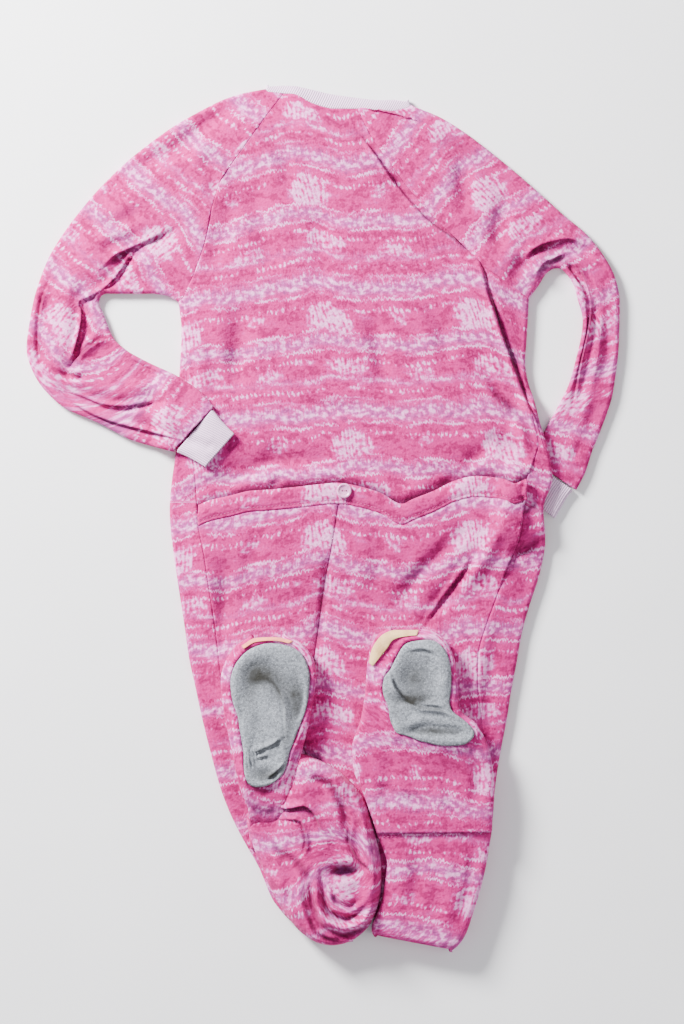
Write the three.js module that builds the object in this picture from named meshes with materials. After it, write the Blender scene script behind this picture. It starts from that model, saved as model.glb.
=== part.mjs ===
import * as THREE from 'three';

// A footed onesie pajama laid flat with its back up. Millimetres, +Z up.
// +Y runs towards the neck and +X to the right of the view from above.

const FLEECE = 2.4; // thickness of the fleece wall
const RIB = 2.0; // thickness of the rib wall at neck and cuffs
const EDGE = 5.5; // radius of a soft turned edge, so two layers stand 11 high
const LOFT = 5; // rise of the upper layer away from its edges
const SEAM_GAP = 0.4; // gap between two pieces at a seam
const LAP_GAP = 0.6; // gap under a piece that lies on another
const FLAP_STEP = 5.6; // height of the drop seat over the bodice
const FLAP_LAP = 95; // how far down the drop seat stands clear of the bodice
const BAND_DEPTH = 26; // depth of the hem along the top of the drop seat
const BAND_WALL = 3.2; // thickness of that hem
const TUCK = 9.8; // lift of the body's edge over the tucked right cuff
const CUFF_EDGE = 4.2; // radius of the turned edge of a cuff
const FOOT_LEVEL = 35; // top of the flattened booties
const SHIN_LEVEL = 31; // top of the folded right lower leg
const ROLL_LEVEL = 40; // top of the rolled folds of the left leg
const SLAB_EDGE = 6; // how far a folded stretch is rounded in from its outline
const REST_REACH = 15; // how far round a point a folded stretch finds the highest of what is below
const SOLE = 2.2; // thickness of a sole
const PATCH = 1.2; // thickness of a toe patch
const BUTTON_RADIUS = 10;
const BUTTON_THICKNESS = 3;
const BUTTON_HOLE = 1.1;
const BUTTON_PLACE = [28, 36];
const ARC_STEPS = 4; // steps round a turned edge

/** Turns rows of numbers into records whose fields are the named columns. */
function table(columns, rows) {
  const names = columns.split(' ');
  return rows.map((row) => Object.fromEntries(names.map((name, i) => [name, row[i]])));
}

// Back bodice, one row for each section from the neck to its hem.
const BODICE = table('leftX leftY rightX rightY', [
  [-53, 570, 47, 549],
  [-81, 533, 62, 515],
  [-108, 495, 84, 484],
  [-136, 455, 112, 446],
  [-150, 414, 144, 408],
  [-157, 377, 178, 376],
  [-166, 348, 197, 357],
  [-176, 322, 213, 340],
  [-188, 296, 222, 315],
  [-184, 250, 232, 278],
  [-183, 205, 246, 232],
  [-183, 163, 258, 200],
  [-180, 118, 272, 165],
  [-177, 86, 282, 132],
  [-172, 50, 289, 95],
  [-170, 14, 273, 51],
  [-168, -12, 271, 25],
  [-160, -50, 262, -30],
]);

// Outer edge of the body beside the bodice; the left starts at row 8, the right at row 7.
const LEFT_EDGE = table('x y', [
  [-195, 290], [-191, 252], [-193, 207], [-196, 163], [-198, 117], [-199, 86], [-204, 50], [-207, 14],
]);
const RIGHT_EDGE = table('x y', [
  [277, 293], [276, 272], [274, 240], [272, 207], [276, 182], [283, 160], [291, 128], [302, 92], [308, 50],
]);

// Seat and legs, one row for each section: edges, side seams and the middle seam.
const LEGS = table('edgeLX edgeLY seamLX seamLY midX midY seamRX seamRY edgeRX edgeRY', [
  [-206, -12, -168, -12, 21, 19, 271, 25, 296, 14],
  [-202, -48, -160, -50, 12, -38, 262, -30, 299, -37],
  [-195.5, -92, -153, -98, 1, -95, 247, -66, 290.5, -80],
  [-188, -140, -146, -142, -6, -148, 232, -110, 278, -118],
  [-181, -189, -140, -193, -13, -195, 219, -145, 267.5, -156],
  [-173, -226, -136, -228, -20, -235, 209, -180, 261, -193],
  [-164, -268, -129, -277, -25, -275, 208, -225, 252.5, -238],
  [-155, -305, -122, -315, -27, -312, 213, -268, 248, -268],
  [-139.5, -362, -108, -369, 0, -362, 217, -312, 239, -315],
  [-125, -400, -97, -405, 15, -398, 218, -352, 233, -352],
  [-107.5, -435, -84, -433, 28, -433, 217, -395, 228, -397],
  [-87, -471, -64, -466, 40, -466, 213, -435, 224, -440],
  [-67, -517, -44, -503, 50, -497, 205, -475, 216, -482],
  [-37, -550, -22, -532, 56, -520, 195, -510, 205, -518],
  [5, -574, 6, -551, 60, -538, 183, -546, 192, -548],
]);
const LEFT_LEG_END = { edgeX: 40, edgeY: -571.5, seamX: 40, seamY: -557, midX: 62, midY: -549 };
const CROTCH_ROW = 7;

// Top edge of the drop seat, from the left side seam to the right one.
const FLAP_TOP = table('x y', [
  [-170, 14], [-151, 22], [-124, 28], [-100, 34], [-70, 36], [-31, 40], [18, 45], [49, 40], [78, 31],
  [97, 19], [108, 17], [120, 23], [148, 34], [174, 47], [200, 54], [223, 53], [243, 50], [256, 44],
  [273, 51],
]);

// Neck: seam of the band and its free edge, on the back layer and on the front layer.
const NECK_BACK = table('seamX seamY freeX freeY', [
  [-53, 570, -57, 581], [-36, 568, -38, 580.5], [-16, 557, -17, 576], [8, 549.5, 8, 570],
  [28, 549, 28, 567], [47, 549, 50, 564], [70, 547.5, 73, 561.5], [94, 546, 96, 562],
]);
const NECK_FRONT = table('seamX seamY freeX freeY', [
  [94, 546, 88, 556], [47, 549, 46, 560], [30, 520, 30, 536], [10, 500, 10, 516], [-25, 528, -22, 544],
  [-53, 570, -48, 577],
]);
const NECK_LEFT = { seamX: -78, seamY: 577, freeX: -76, freeY: 583 };
const NECK_RIGHT = { seamX: 118, seamY: 555, freeX: 115, freeY: 563 };

// Sleeves, one row for each section: outer and inner edge, how much of the bow of the
// raglan seam the section keeps, and how full it stands.
const SLEEVE_COLUMNS = 'outerX outerY innerX innerY bow full';
const SLEEVE_LEFT = table(SLEEVE_COLUMNS, [
  [-78, 577, -195, 290, 1, 1],
  [-111, 570.5, -202, 294, 0.8, 1],
  [-144, 558.5, -209, 298, 0.6, 1],
  [-202, 526.5, -228, 301, 0.3, 1],
  [-259, 484, -250, 301, 0.1, 1],
  [-305, 439.5, -278, 301, 0, 1],
  [-342, 394, -293, 301, 0, 1],
  [-370, 350, -299, 298, 0, 1],
  [-389, 298, -302, 291, 0, 1],
  [-399, 242, -301, 284, 0, 1],
  [-399, 218, -297, 276, 0, 1],
  [-390, 193, -292, 263, 0, 1],
  [-376, 172, -287, 250, 0, 1],
  [-349, 147.5, -280, 238, 0, 1],
  [-303, 127, -262, 223, 0, 1],
  [-261, 105, -234, 208, 0, 1],
  [-228, 95, -196, 190, 0, 0.95],
  [-206, 89, -166, 170, 0, 0.88],
  [-200, 88, -146, 148, 0, 0.8],
]);
const SLEEVE_RIGHT = table(SLEEVE_COLUMNS, [
  [118, 555, 277, 293, 1, 1],
  [158.5, 538.5, 282, 301, 0.7, 1],
  [199, 512.5, 290, 312, 0.42, 1],
  [251, 471.5, 300, 328, 0.2, 1],
  [292, 436, 311, 335, 0.06, 1],
  [323, 408, 321, 334, 0, 1],
  [352, 384, 331, 323, 0, 1],
  [374, 358, 338, 311, 0, 1],
  [391, 329, 343, 292, 0, 1],
  [399, 298, 349, 270, 0, 1],
  [399, 254, 348, 248, 0, 1],
  [397, 215, 342, 220, 0, 0.95],
  [390, 166, 331, 180, 0, 0.88],
  [383, 142, 317, 151, 0, 0.82],
  [373, 115, 301, 122, 0, 0.8],
  [362, 88, 289, 98, 0, 0.8],
  [353, 60, 283, 84, 0, 0.8],
  [341, 37, 281, 75, 0, 0.8],
]);
const ARMPIT_LEFT = [-0.75, -0.66];
const ARMPIT_RIGHT = [0.7, -0.71];
const CUFF_LEFT = table('outerX outerY innerX innerY', [
  [-196.5, 87.5, -147.5, 144.5], [-184, 82, -139, 133], [-171, 75, -129, 122], [-158, 67, -119, 112],
]);
const CUFF_RIGHT = table('outerX outerY innerX innerY', [
  [336, 36.5, 283, 74], [327, 24.5, 275, 62], [319.5, 11.5, 266, 50], [312.5, -1, 257, 38],
]);
const TUCK_SPINE = [[300, 128], [292, 80], [272, 6]]; // middle of what lies under the right edge
const TUCK_FULL = 27;
const TUCK_FADE = 26;

// Soft folds: a line from one point to another, its half width and its height above the cloth.
const FOLDS = table('x1 y1 x2 y2 width height', [
  [-92, 427, -73, 349, 16, -3],
  [-5, 393, -1, 327, 14, -2.5],
  [-111, 266, -119, 190, 18, -3.5],
  [67, 254, 82, 184, 14, -2.5],
  [-24, 525, 84, 462, 18, 3],
  [96, 450, 192, 363, 18, -3],
  [211, 213, 253, 136, 14, -3],
  [-169, 28, -117, 58, 14, -3.5],
  [-117, 58, -65, 80, 15, -3.5],
  [-65, 80, -5, 78, 14, -3],
  [151, 46, 215, 90, 14, -3.5],
  [232, 104, 266, 77, 12, -3],
  [204, -49, 158, -111, 12, -4],
  [158, -111, 135, -144, 10, -3],
  [239, -11, 188, -94, 15, 3],
  [184, -23, 104, -112, 15, -3],
  [-132, -72, -136, -166, 16, -3],
  [5, -66, -13, -193, 10, -2],
  [293, -27, 255, -50, 9, -3],
  [-146, 543, -189, 498, 14, -3],
  [-189, 498, -234, 479, 13, -2.5],
  [-166, 495, -136, 440, 14, 2.5],
  [-126, 408, -146, 347, 14, -2.5],
  [186, 475, 189, 421, 12, -2.5],
  [243, 421, 232, 374, 14, -3],
  [350, 319, 363, 274, 9, -4],
  [363, 274, 342, 163, 9, -3.5],
  [298, 363, 355, 358, 9, -3.5],
  [272, 306, 298, 350, 12, 3],
  [-205, 379, -257, 360, 12, -3],
  [-257, 360, -296, 306, 11, -4],
  [-328, 293, -325, 250, 10, -5],
  [-325, 250, -347, 194, 10, -4.5],
  [-352, 169, -267, 150, 10, -4],
  [-267, 150, -223, 155, 9, -3],
  [-344, 157, -192, 106, 8, -3],
  [-385, 279, -383, 212, 7, -3],
]);

// Right lower leg and bootie, rows from the fold at the bottom up to the toe.
const SHIN_RIGHT = table('leftX leftY rightX rightY', [
  [68, -562.5, 172, -582.5],
  [65, -555, 184, -571],
  [66, -545, 193, -555],
  [67, -541, 195.5, -551],
  [77, -520, 203, -524],
  [82, -492, 212, -494],
  [85, -460, 219, -463],
  [72, -424, 226, -421],
]);
const FOOT_RIGHT = table('leftX leftY rightX rightY', [
  [72, -424, 226, -421],
  [65, -402, 227, -404],
  [54, -370, 229, -376],
  [41, -340, 229, -348],
  [39, -304, 221, -306],
  [49, -275, 205, -276],
  [54, -250, 184, -258],
  [57, -222, 180, -222],
  [59, -195, 176, -191],
  [64, -172, 166, -167],
  [74, -156, 150, -154],
  [90, -148, 132, -148],
]);
// Left lower leg: bootie from the ankle up to the toe, shin, and the two rolled folds.
const FOOT_LEFT = table('leftX leftY rightX rightY', [
  [-95, -446, -58, -447],
  [-99, -415, -54, -417],
  [-101, -388, -50, -388],
  [-112, -362, -43, -364],
  [-118, -335, -35, -337],
  [-124, -305, -27, -308],
  [-131, -272, -19, -276],
  [-136, -240, -13, -243],
  [-137, -214, -9, -212],
  [-131, -193, -14, -187],
  [-117, -172, -30, -168],
  [-96, -158, -52, -157],
]);
const SHIN_LEFT = table('leftX leftY rightX rightY', [
  [-22, -322, -13, -322],
  [-30, -340, 12, -341],
  [-37, -358, 31, -356],
  [-44, -378, 46, -376],
  [-47, -400, 57, -399],
  [-49, -422, 64, -421],
  [-50, -444, 60, -440],
]);
const OUTER_FOLD = table('leftX leftY rightX rightY', [
  [63, -444, 76, -446],
  [64, -462, 80, -468],
  [64, -486, 79, -496],
  [58, -510, 73, -526],
  [46, -528, 59, -545],
  [31, -538, 34, -556],
  [14, -539, 6, -556],
  [0, -528, -11, -541],
  [-8, -511, -21, -520],
  [-12, -490, -27, -495],
  [-15, -472, -35, -470],
  [-30, -452, -52, -452],
]);
const INNER_FOLD = table('leftX leftY rightX rightY', [
  [34, -446, 61, -446],
  [36, -460, 62, -464],
  [38, -476, 62, -486],
  [36, -488, 56, -508],
  [29, -496, 43, -525],
  [19, -498, 18, -535],
  [9, -494, 1, -525],
  [4, -484, -7, -505],
  [2, -472, -11, -484],
  [0, -458, -16, -458],
]);

// Soles and toe patches, seen from above: distance from the centre at even turns from +X.
const SOLE_LEFT = {
  centre: [-75, -262],
  radii: [50, 56, 65, 80, 93, 95, 94, 89, 80, 68, 55, 46, 40, 39, 42, 48, 62, 97, 96, 83, 60, 51, 47, 47],
};
const SOLE_RIGHT = {
  centre: [128, -250],
  radii: [41, 42, 47, 55, 67, 81, 88, 86, 83, 70, 61, 59, 54, 48, 42, 41, 42, 45, 48, 45, 45, 48, 52, 60,
    70, 82, 82, 48],
};
const PATCH_LEFT = table('innerX innerY outerX outerY', [
  [-106, -175, -109, -171.5], [-92, -166.5, -94, -162], [-75, -164.5, -75, -160], [-58, -165, -57, -160.5],
  [-46, -168, -40, -165],
]);
const PATCH_RIGHT = table('innerX innerY outerX outerY', [
  [66, -199, 61, -194], [78, -184, 63.5, -181], [86, -174, 68, -170], [92, -165, 78, -157.5],
  [101, -160.5, 92, -151], [114, -158, 112, -150.5], [125, -157, 128, -150.5],
]);

const clamp = (value) => Math.min(1, Math.max(0, value));
const smooth = (value) => clamp(value) ** 2 * (3 - 2 * clamp(value));
const mix = (a, b, share) => a + (b - a) * share;
const mixPoint = (a, b, share) => [mix(a[0], b[0], share), mix(a[1], b[1], share)];

/** Distance from a plan point to one straight stretch. */
function stretchDistance(x, y, a, b) {
  const dx = b[0] - a[0];
  const dy = b[1] - a[1];
  const share = clamp(((x - a[0]) * dx + (y - a[1]) * dy) / (dx * dx + dy * dy));
  return Math.hypot(x - a[0] - dx * share, y - a[1] - dy * share);
}

/** Distance from a plan point to a line of points. */
function lineDistance(x, y, line) {
  let least = Infinity;
  for (let i = 1; i < line.length; i += 1) {
    least = Math.min(least, stretchDistance(x, y, line[i - 1], line[i]));
  }
  return least;
}

/** Height of a line of points at x. */
function lineHeight(x, line) {
  let i = 1;
  while (i < line.length - 1 && line[i][0] < x) i += 1;
  const [a, b] = [line[i - 1], line[i]];
  return mix(a[1], b[1], (x - a[0]) / (b[0] - a[0]));
}

const points = (rows, x, y) => rows.map((row) => [row[x], row[y]]);
const leftEdge = [...points(LEFT_EDGE, 'x', 'y'), ...points(LEGS, 'edgeLX', 'edgeLY'),
  [LEFT_LEG_END.edgeX, LEFT_LEG_END.edgeY]];
const rightEdge = [...points(RIGHT_EDGE, 'x', 'y'), ...points(LEGS, 'edgeRX', 'edgeRY')];
const inseam = [...points(LEGS.slice(CROTCH_ROW), 'midX', 'midY'), [LEFT_LEG_END.midX, LEFT_LEG_END.midY]];
const flapTop = points(FLAP_TOP, 'x', 'y');
const sleeveLines = (rows) => [points(rows, 'outerX', 'outerY'), points(rows, 'innerX', 'innerY')];
const upperSleeves = [...sleeveLines(SLEEVE_LEFT.slice(0, 8)), ...sleeveLines(SLEEVE_RIGHT.slice(0, 9))];
const bodyLines = [leftEdge, rightEdge, ...upperSleeves];

/** Sum of the soft folds at a plan point. */
function foldHeight(x, y) {
  let sum = 0;
  for (const fold of FOLDS) {
    const distance = stretchDistance(x, y, [fold.x1, fold.y1], [fold.x2, fold.y2]);
    if (distance < 3 * fold.width) sum += fold.height * Math.exp(-((distance / fold.width) ** 2));
  }
  return Math.max(-4.6, Math.min(4.6, sum));
}

/** Height of a pair of layers over their own edge lines. */
function puff(x, y, lines) {
  const distance = Math.min(...lines.map((line) => lineDistance(x, y, line)));
  const rise = LOFT * smooth((distance - EDGE) / 45);
  return 2 * EDGE + rise + foldHeight(x, y) * smooth((distance - EDGE) / 14);
}

const lift = (x, y) => TUCK * (1 - smooth((lineDistance(x, y, TUCK_SPINE) - TUCK_FULL) / TUCK_FADE));

/** Top of the bodice and of the front where it wraps round. */
function bodyTop(x, y) {
  const valley = y < -290 ? smooth(lineDistance(x, y, inseam) / 24) : 1;
  return lift(x, y) + mix(FLEECE + SEAM_GAP + FLEECE + 0.6, puff(x, y, bodyLines), valley);
}

/** Top of the drop seat and the leg backs. */
function seatTop(x, y) {
  const below = lineHeight(x, flapTop) - y;
  return bodyTop(x, y) + FLAP_STEP * (1 - smooth((below - FLAP_LAP) / 60));
}

/** Underside of the left sleeve, which climbs over the body's edge below the armhole. */
function leftSupport(x, y) {
  const edgeX = mix(-195, -200, clamp((250 - y) / 170));
  const over = smooth((x - edgeX + 36) / 28) * smooth((262 - y) / 40);
  return over * (bodyTop(x, y) + LAP_GAP);
}

/** Upward normal of a height over the plan. */
function slopeNormal(height, x, y) {
  const step = 0.5;
  const dx = (height(x + step, y) - height(x - step, y)) / (2 * step);
  const dy = (height(x, y + step) - height(x, y - step)) / (2 * step);
  return new THREE.Vector3(-dx, -dy, 1).normalize();
}

const onTop = (height, [x, y]) => ({
  place: new THREE.Vector3(x, y, height(x, y)),
  out: slopeNormal(height, x, y),
});
const onUnder = (height, [x, y]) => ({
  place: new THREE.Vector3(x, y, height(x, y)),
  out: slopeNormal(height, x, y).negate(),
});

/** Plan normals along a line, pointing away from the matching points of a second line. */
function outwards(line, inner) {
  return line.map((point, i) => {
    const a = line[Math.max(0, i - 1)];
    const b = line[Math.min(line.length - 1, i + 1)];
    const length = Math.hypot(b[0] - a[0], b[1] - a[1]);
    const normal = [(b[1] - a[1]) / length, -(b[0] - a[0]) / length];
    const side = normal[0] * (point[0] - inner[i][0]) + normal[1] * (point[1] - inner[i][1]);
    return side < 0 ? [-normal[0], -normal[1]] : normal;
  });
}

const inset = (point, out, depth) => [point[0] - out[0] * depth, point[1] - out[1] * depth];

/** Points round a turned edge from the underside to the top. */
function turn(point, out, radius, low) {
  const arc = [];
  for (let i = 0; i <= ARC_STEPS; i += 1) {
    const angle = Math.PI * (i / ARC_STEPS - 0.5);
    const [x, y] = inset(point, out, radius * (1 - Math.cos(angle)));
    const normal = new THREE.Vector3(out[0] * Math.cos(angle), out[1] * Math.cos(angle), Math.sin(angle));
    arc.push({ place: new THREE.Vector3(x, y, low + radius + radius * Math.sin(angle)), out: normal });
  }
  return arc;
}

/** A closed mesh from corners and faces, turned so that its faces point out. */
function closedGeometry(corners, faces) {
  let volume = 0;
  for (const [a, b, c] of faces) {
    volume += corners[a].dot(new THREE.Vector3().crossVectors(corners[b], corners[c]));
  }
  const turned = volume < 0 ? faces.map(([a, b, c]) => [a, c, b]) : faces;
  const geometry = new THREE.BufferGeometry().setFromPoints(corners);
  geometry.setIndex(turned.flat());
  geometry.computeVertexNormals();
  return geometry;
}

/** Two faces for a four-cornered patch. */
const patchFaces = (a, b, c, d) => [[a, b, c], [a, c, d]];

/** A wall on a grid of placed normals; a tube where the rows close on themselves. */
function wallGeometry(grid, from, to, isTube = false) {
  const rows = grid.length;
  const columns = grid[0].length;
  const shifted = (amount) => grid.flat().map(({ place, out }) => place.clone().addScaledVector(out, amount));
  const corners = [...shifted(to), ...shifted(from)];
  const layer = rows * columns;
  const at = (i, j, inner) => i * columns + (j % columns) + (inner ? layer : 0);
  const faces = [];
  const last = isTube ? columns : columns - 1;
  for (let i = 0; i < rows - 1; i += 1) {
    for (let j = 0; j < last; j += 1) {
      faces.push(...patchFaces(at(i, j), at(i, j + 1), at(i + 1, j + 1), at(i + 1, j)));
      faces.push(...patchFaces(at(i, j, 1), at(i + 1, j, 1), at(i + 1, j + 1, 1), at(i, j + 1, 1)));
    }
  }
  for (let j = 0; j < last; j += 1) {
    const end = rows - 1;
    faces.push(...patchFaces(at(0, j), at(0, j, 1), at(0, j + 1, 1), at(0, j + 1)));
    faces.push(...patchFaces(at(end, j), at(end, j + 1), at(end, j + 1, 1), at(end, j, 1)));
  }
  if (!isTube) {
    for (let i = 0; i < rows - 1; i += 1) {
      const end = columns - 1;
      faces.push(...patchFaces(at(i, 0), at(i + 1, 0), at(i + 1, 0, 1), at(i, 0, 1)));
      faces.push(...patchFaces(at(i, end), at(i, end, 1), at(i + 1, end, 1), at(i + 1, end)));
    }
  }
  return closedGeometry(corners, faces);
}

/** Moves the first and last row and column of a grid inwards by half a seam gap. */
function trimGrid(grid, sides) {
  const gap = SEAM_GAP / 2 + 0.05;
  const move = (edge, next) => {
    const way = next.place.clone().sub(edge.place);
    edge.place.addScaledVector(way.normalize(), gap);
  };
  const end = grid.length - 1;
  if (sides.includes('first')) grid[0].forEach((edge, j) => move(edge, grid[1][j]));
  if (sides.includes('last')) grid[end].forEach((edge, j) => move(edge, grid[end - 1][j]));
  for (const row of grid) {
    if (sides.includes('left')) move(row[0], row[1]);
    if (sides.includes('right')) move(row[row.length - 1], row[row.length - 2]);
  }
  return grid;
}

/** Adds points between each two, in even shares, over the first so many stretches. */
function divide(line, parts, stretches = Infinity) {
  const result = [line[0]];
  for (let i = 1; i < line.length; i += 1) {
    const count = i <= stretches ? parts : 1;
    for (let k = 1; k <= count; k += 1) result.push(mixPoint(line[i - 1], line[i], k / count));
  }
  return result;
}

/** Plan grid between two side lines, whose first and last rows follow lines of their own. */
function planGrid(left, right, columns, first, last) {
  const rows = left.length;
  return left.map((a, i) => {
    const row = [];
    for (let j = 0; j <= columns; j += 1) {
      const share = j / columns;
      const point = mixPoint(a, right[i], share);
      const fade = [smooth(1 - i / (rows * 0.5)), smooth(1 - (rows - 1 - i) / (rows * 0.3))];
      [first, last].forEach((edge, k) => {
        if (!edge) return;
        const end = k === 0 ? 0 : rows - 1;
        const straight = mixPoint(left[end], right[end], share);
        point[0] += (edge[j][0] - straight[0]) * fade[k];
        point[1] += (edge[j][1] - straight[1]) * fade[k];
      });
      row.push(point);
    }
    return row;
  });
}

/** Back bodice. */
function bodiceGeometry() {
  const left = divide(points(BODICE, 'leftX', 'leftY'), 2);
  const right = divide(points(BODICE, 'rightX', 'rightY'), 2);
  const neck = divide(points(NECK_BACK.slice(0, 6), 'seamX', 'seamY'), 3);
  const plan = planGrid(left, right, neck.length - 1, neck, null);
  const grid = plan.map((row) => row.map((point) => onTop(bodyTop, point)));
  return wallGeometry(trimGrid(grid, ['first', 'left', 'right']), -FLEECE, 0);
}

/** Lower edge of the seat band between two x positions, shared with the seat below it. */
function bandLower(fromX, toX, columns) {
  const line = [];
  for (let j = 0; j <= columns; j += 1) {
    const x = mix(fromX, toX, j / columns);
    line.push([x, lineHeight(x, flapTop) - BAND_DEPTH]);
  }
  return line;
}

const SEAT_COLUMNS = 8;
const seatFirstLeft = bandLower(LEGS[0].seamLX, LEGS[0].midX, SEAT_COLUMNS);
const seatFirstRight = bandLower(LEGS[0].midX, LEGS[0].seamRX, SEAT_COLUMNS);

/** Hem along the top of the drop seat. */
function bandGeometry() {
  const lower = [...seatFirstLeft, ...seatFirstRight.slice(1)];
  const height = (x, y) => seatTop(x, y) + BAND_WALL - FLEECE;
  const grid = [0, 0.5, 1].map((share) => lower.map(([x, y]) => (
    onTop(height, [x, mix(lineHeight(x, flapTop), y, share)])
  )));
  return wallGeometry(trimGrid(grid, ['last', 'left', 'right']), -BAND_WALL, 0);
}

/** Back of the seat and of one leg. */
function seatGeometry(isLeft) {
  const side = points(LEGS, isLeft ? 'seamLX' : 'seamRX', isLeft ? 'seamLY' : 'seamRY');
  const middle = points(LEGS, 'midX', 'midY');
  if (isLeft) {
    side.push([LEFT_LEG_END.seamX, LEFT_LEG_END.seamY]);
    middle.push([LEFT_LEG_END.midX, LEFT_LEG_END.midY]);
  }
  const first = isLeft ? seatFirstLeft : seatFirstRight;
  const plan = isLeft
    ? planGrid(divide(side, 2), divide(middle, 2), SEAT_COLUMNS, first, null)
    : planGrid(divide(middle, 2), divide(side, 2), SEAT_COLUMNS, first, null);
  const grid = plan.map((row) => row.map((point) => onTop(seatTop, point)));
  return wallGeometry(trimGrid(grid, ['first', 'left', 'right']), -FLEECE, 0);
}

// The sleeve seam's points as the sleeve and the body both use them.
const RAGLAN_LEFT_TOP = points(BODICE.slice(0, 9), 'leftX', 'leftY');
const RAGLAN_RIGHT_TOP = [...points(BODICE.slice(0, 8), 'rightX', 'rightY'), [233, 325.6], [253, 311.3]];
const RAGLAN_LEFT_UNDER = [0, 2, 4, 6].map((i) => RAGLAN_LEFT_TOP[i]);
const RAGLAN_RIGHT_UNDER = [0, 2, 4, 7].map((i) => RAGLAN_RIGHT_TOP[i]);
const NECK_LOW = [10, 500];

/** Front half: flat below, turned round the edge, and a strip on top up to the side seam. */
function frontGeometry(isLeft) {
  const start = isLeft ? 8 : 7;
  const seam = points(BODICE.slice(start, 16), isLeft ? 'leftX' : 'rightX', isLeft ? 'leftY' : 'rightY');
  seam.push(...points(LEGS, isLeft ? 'seamLX' : 'seamRX', isLeft ? 'seamLY' : 'seamRY'));
  const edge = isLeft ? [...leftEdge] : [...rightEdge];
  const crotch = LEGS[CROTCH_ROW];
  const legMiddle = points(LEGS.slice(CROTCH_ROW), 'midX', 'midY');
  if (isLeft) {
    seam.push([LEFT_LEG_END.seamX, LEFT_LEG_END.seamY]);
    legMiddle.push([LEFT_LEG_END.midX, LEFT_LEG_END.midY]);
  }
  const upperRows = edge.length - legMiddle.length;
  const middle = edge.map((point, i) => {
    if (i >= upperRows) return legMiddle[i - upperRows];
    const share = i / upperRows;
    return [mix(NECK_LOW[0], crotch.midX, share), mix(NECK_LOW[1], crotch.midY, share)];
  });
  const fineStretches = isLeft ? 2 : 11;
  const fineEdge = divide(edge, 2, fineStretches);
  const fineSeam = divide(seam, 2, fineStretches);
  const fineMiddle = divide(middle, 2, fineStretches);
  const armpit = isLeft ? ARMPIT_LEFT : ARMPIT_RIGHT;
  const out = outwards(fineEdge, fineMiddle);
  out[0] = armpit;
  out[1] = [mix(armpit[0], out[2][0], 0.6), mix(armpit[1], out[2][1], 0.6)];
  const length = Math.hypot(...out[1]);
  out[1] = [out[1][0] / length, out[1][1] / length];
  const bends = isLeft ? [[-25, 528], ...RAGLAN_LEFT_UNDER] : [[30, 520], ...RAGLAN_RIGHT_UNDER, [253, 311.3]];
  const armhole = [NECK_LOW, ...bends, inset(fineEdge[0], out[0], EDGE)];
  const shares = isLeft ? [0, 0.25, 0.5, 0.7, 0.86, 0.95, 1] : [0, 0.3, 0.55, 0.72, 0.82, 0.9, 0.96, 1];
  const yokeRows = isLeft ? 6 : 8;
  const stripColumns = isLeft ? 2 : 3;
  const grid = fineEdge.map((point, i) => {
    const turned = inset(point, out[i], EDGE);
    const yoke = (1 - clamp(i / yokeRows)) ** 1.5;
    const row = shares.map((share, j) => {
      const flat = mixPoint(fineMiddle[i], turned, share);
      const straight = mixPoint(fineMiddle[0], inset(fineEdge[0], out[0], EDGE), share);
      flat[0] += (armhole[j][0] - straight[0]) * yoke;
      flat[1] += (armhole[j][1] - straight[1]) * yoke;
      return onUnder(lift, flat);
    });
    const arc = turn(point, out[i], EDGE, lift(...turned));
    row.push(...arc.slice(1));
    for (let j = 1; j <= stripColumns; j += 1) {
      row.push(onTop(bodyTop, mixPoint(turned, fineSeam[i], j / stripColumns)));
    }
    return row;
  });
  return wallGeometry(trimGrid(grid, ['first', 'left', 'right']), -FLEECE, 0);
}

/** Points of one closed section between an outer and an inner edge. */
function sectionRing(spec) {
  const { a, aOut, b, bOut, radius, topShares, underShares, topBow, underBow, low, high } = spec;
  const aIn = inset(a, aOut, radius);
  const bIn = inset(b, bOut, radius);
  const ring = turn(a, aOut, radius, low(...aIn));
  topShares.forEach((share, j) => {
    const [x, y] = mixPoint(aIn, bIn, share);
    ring.push(onTop(high, [x + topBow[j][0], y + topBow[j][1]]));
  });
  ring.push(...turn(b, bOut, radius, low(...bIn)).reverse());
  underShares.forEach((share, j) => {
    const [x, y] = mixPoint(bIn, aIn, share);
    ring.push(onUnder(low, [x + underBow[j][0], y + underBow[j][1]]));
  });
  return ring;
}

/** Shares along a chord and offsets from it of a line of points. */
function chordShares(line, from, to) {
  const chord = [to[0] - from[0], to[1] - from[1]];
  const square = chord[0] ** 2 + chord[1] ** 2;
  const shares = line.map(([x, y]) => ((x - from[0]) * chord[0] + (y - from[1]) * chord[1]) / square);
  const bows = line.map(([x, y], i) => [x - from[0] - chord[0] * shares[i], y - from[1] - chord[1] * shares[i]]);
  return { shares, bows };
}

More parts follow.
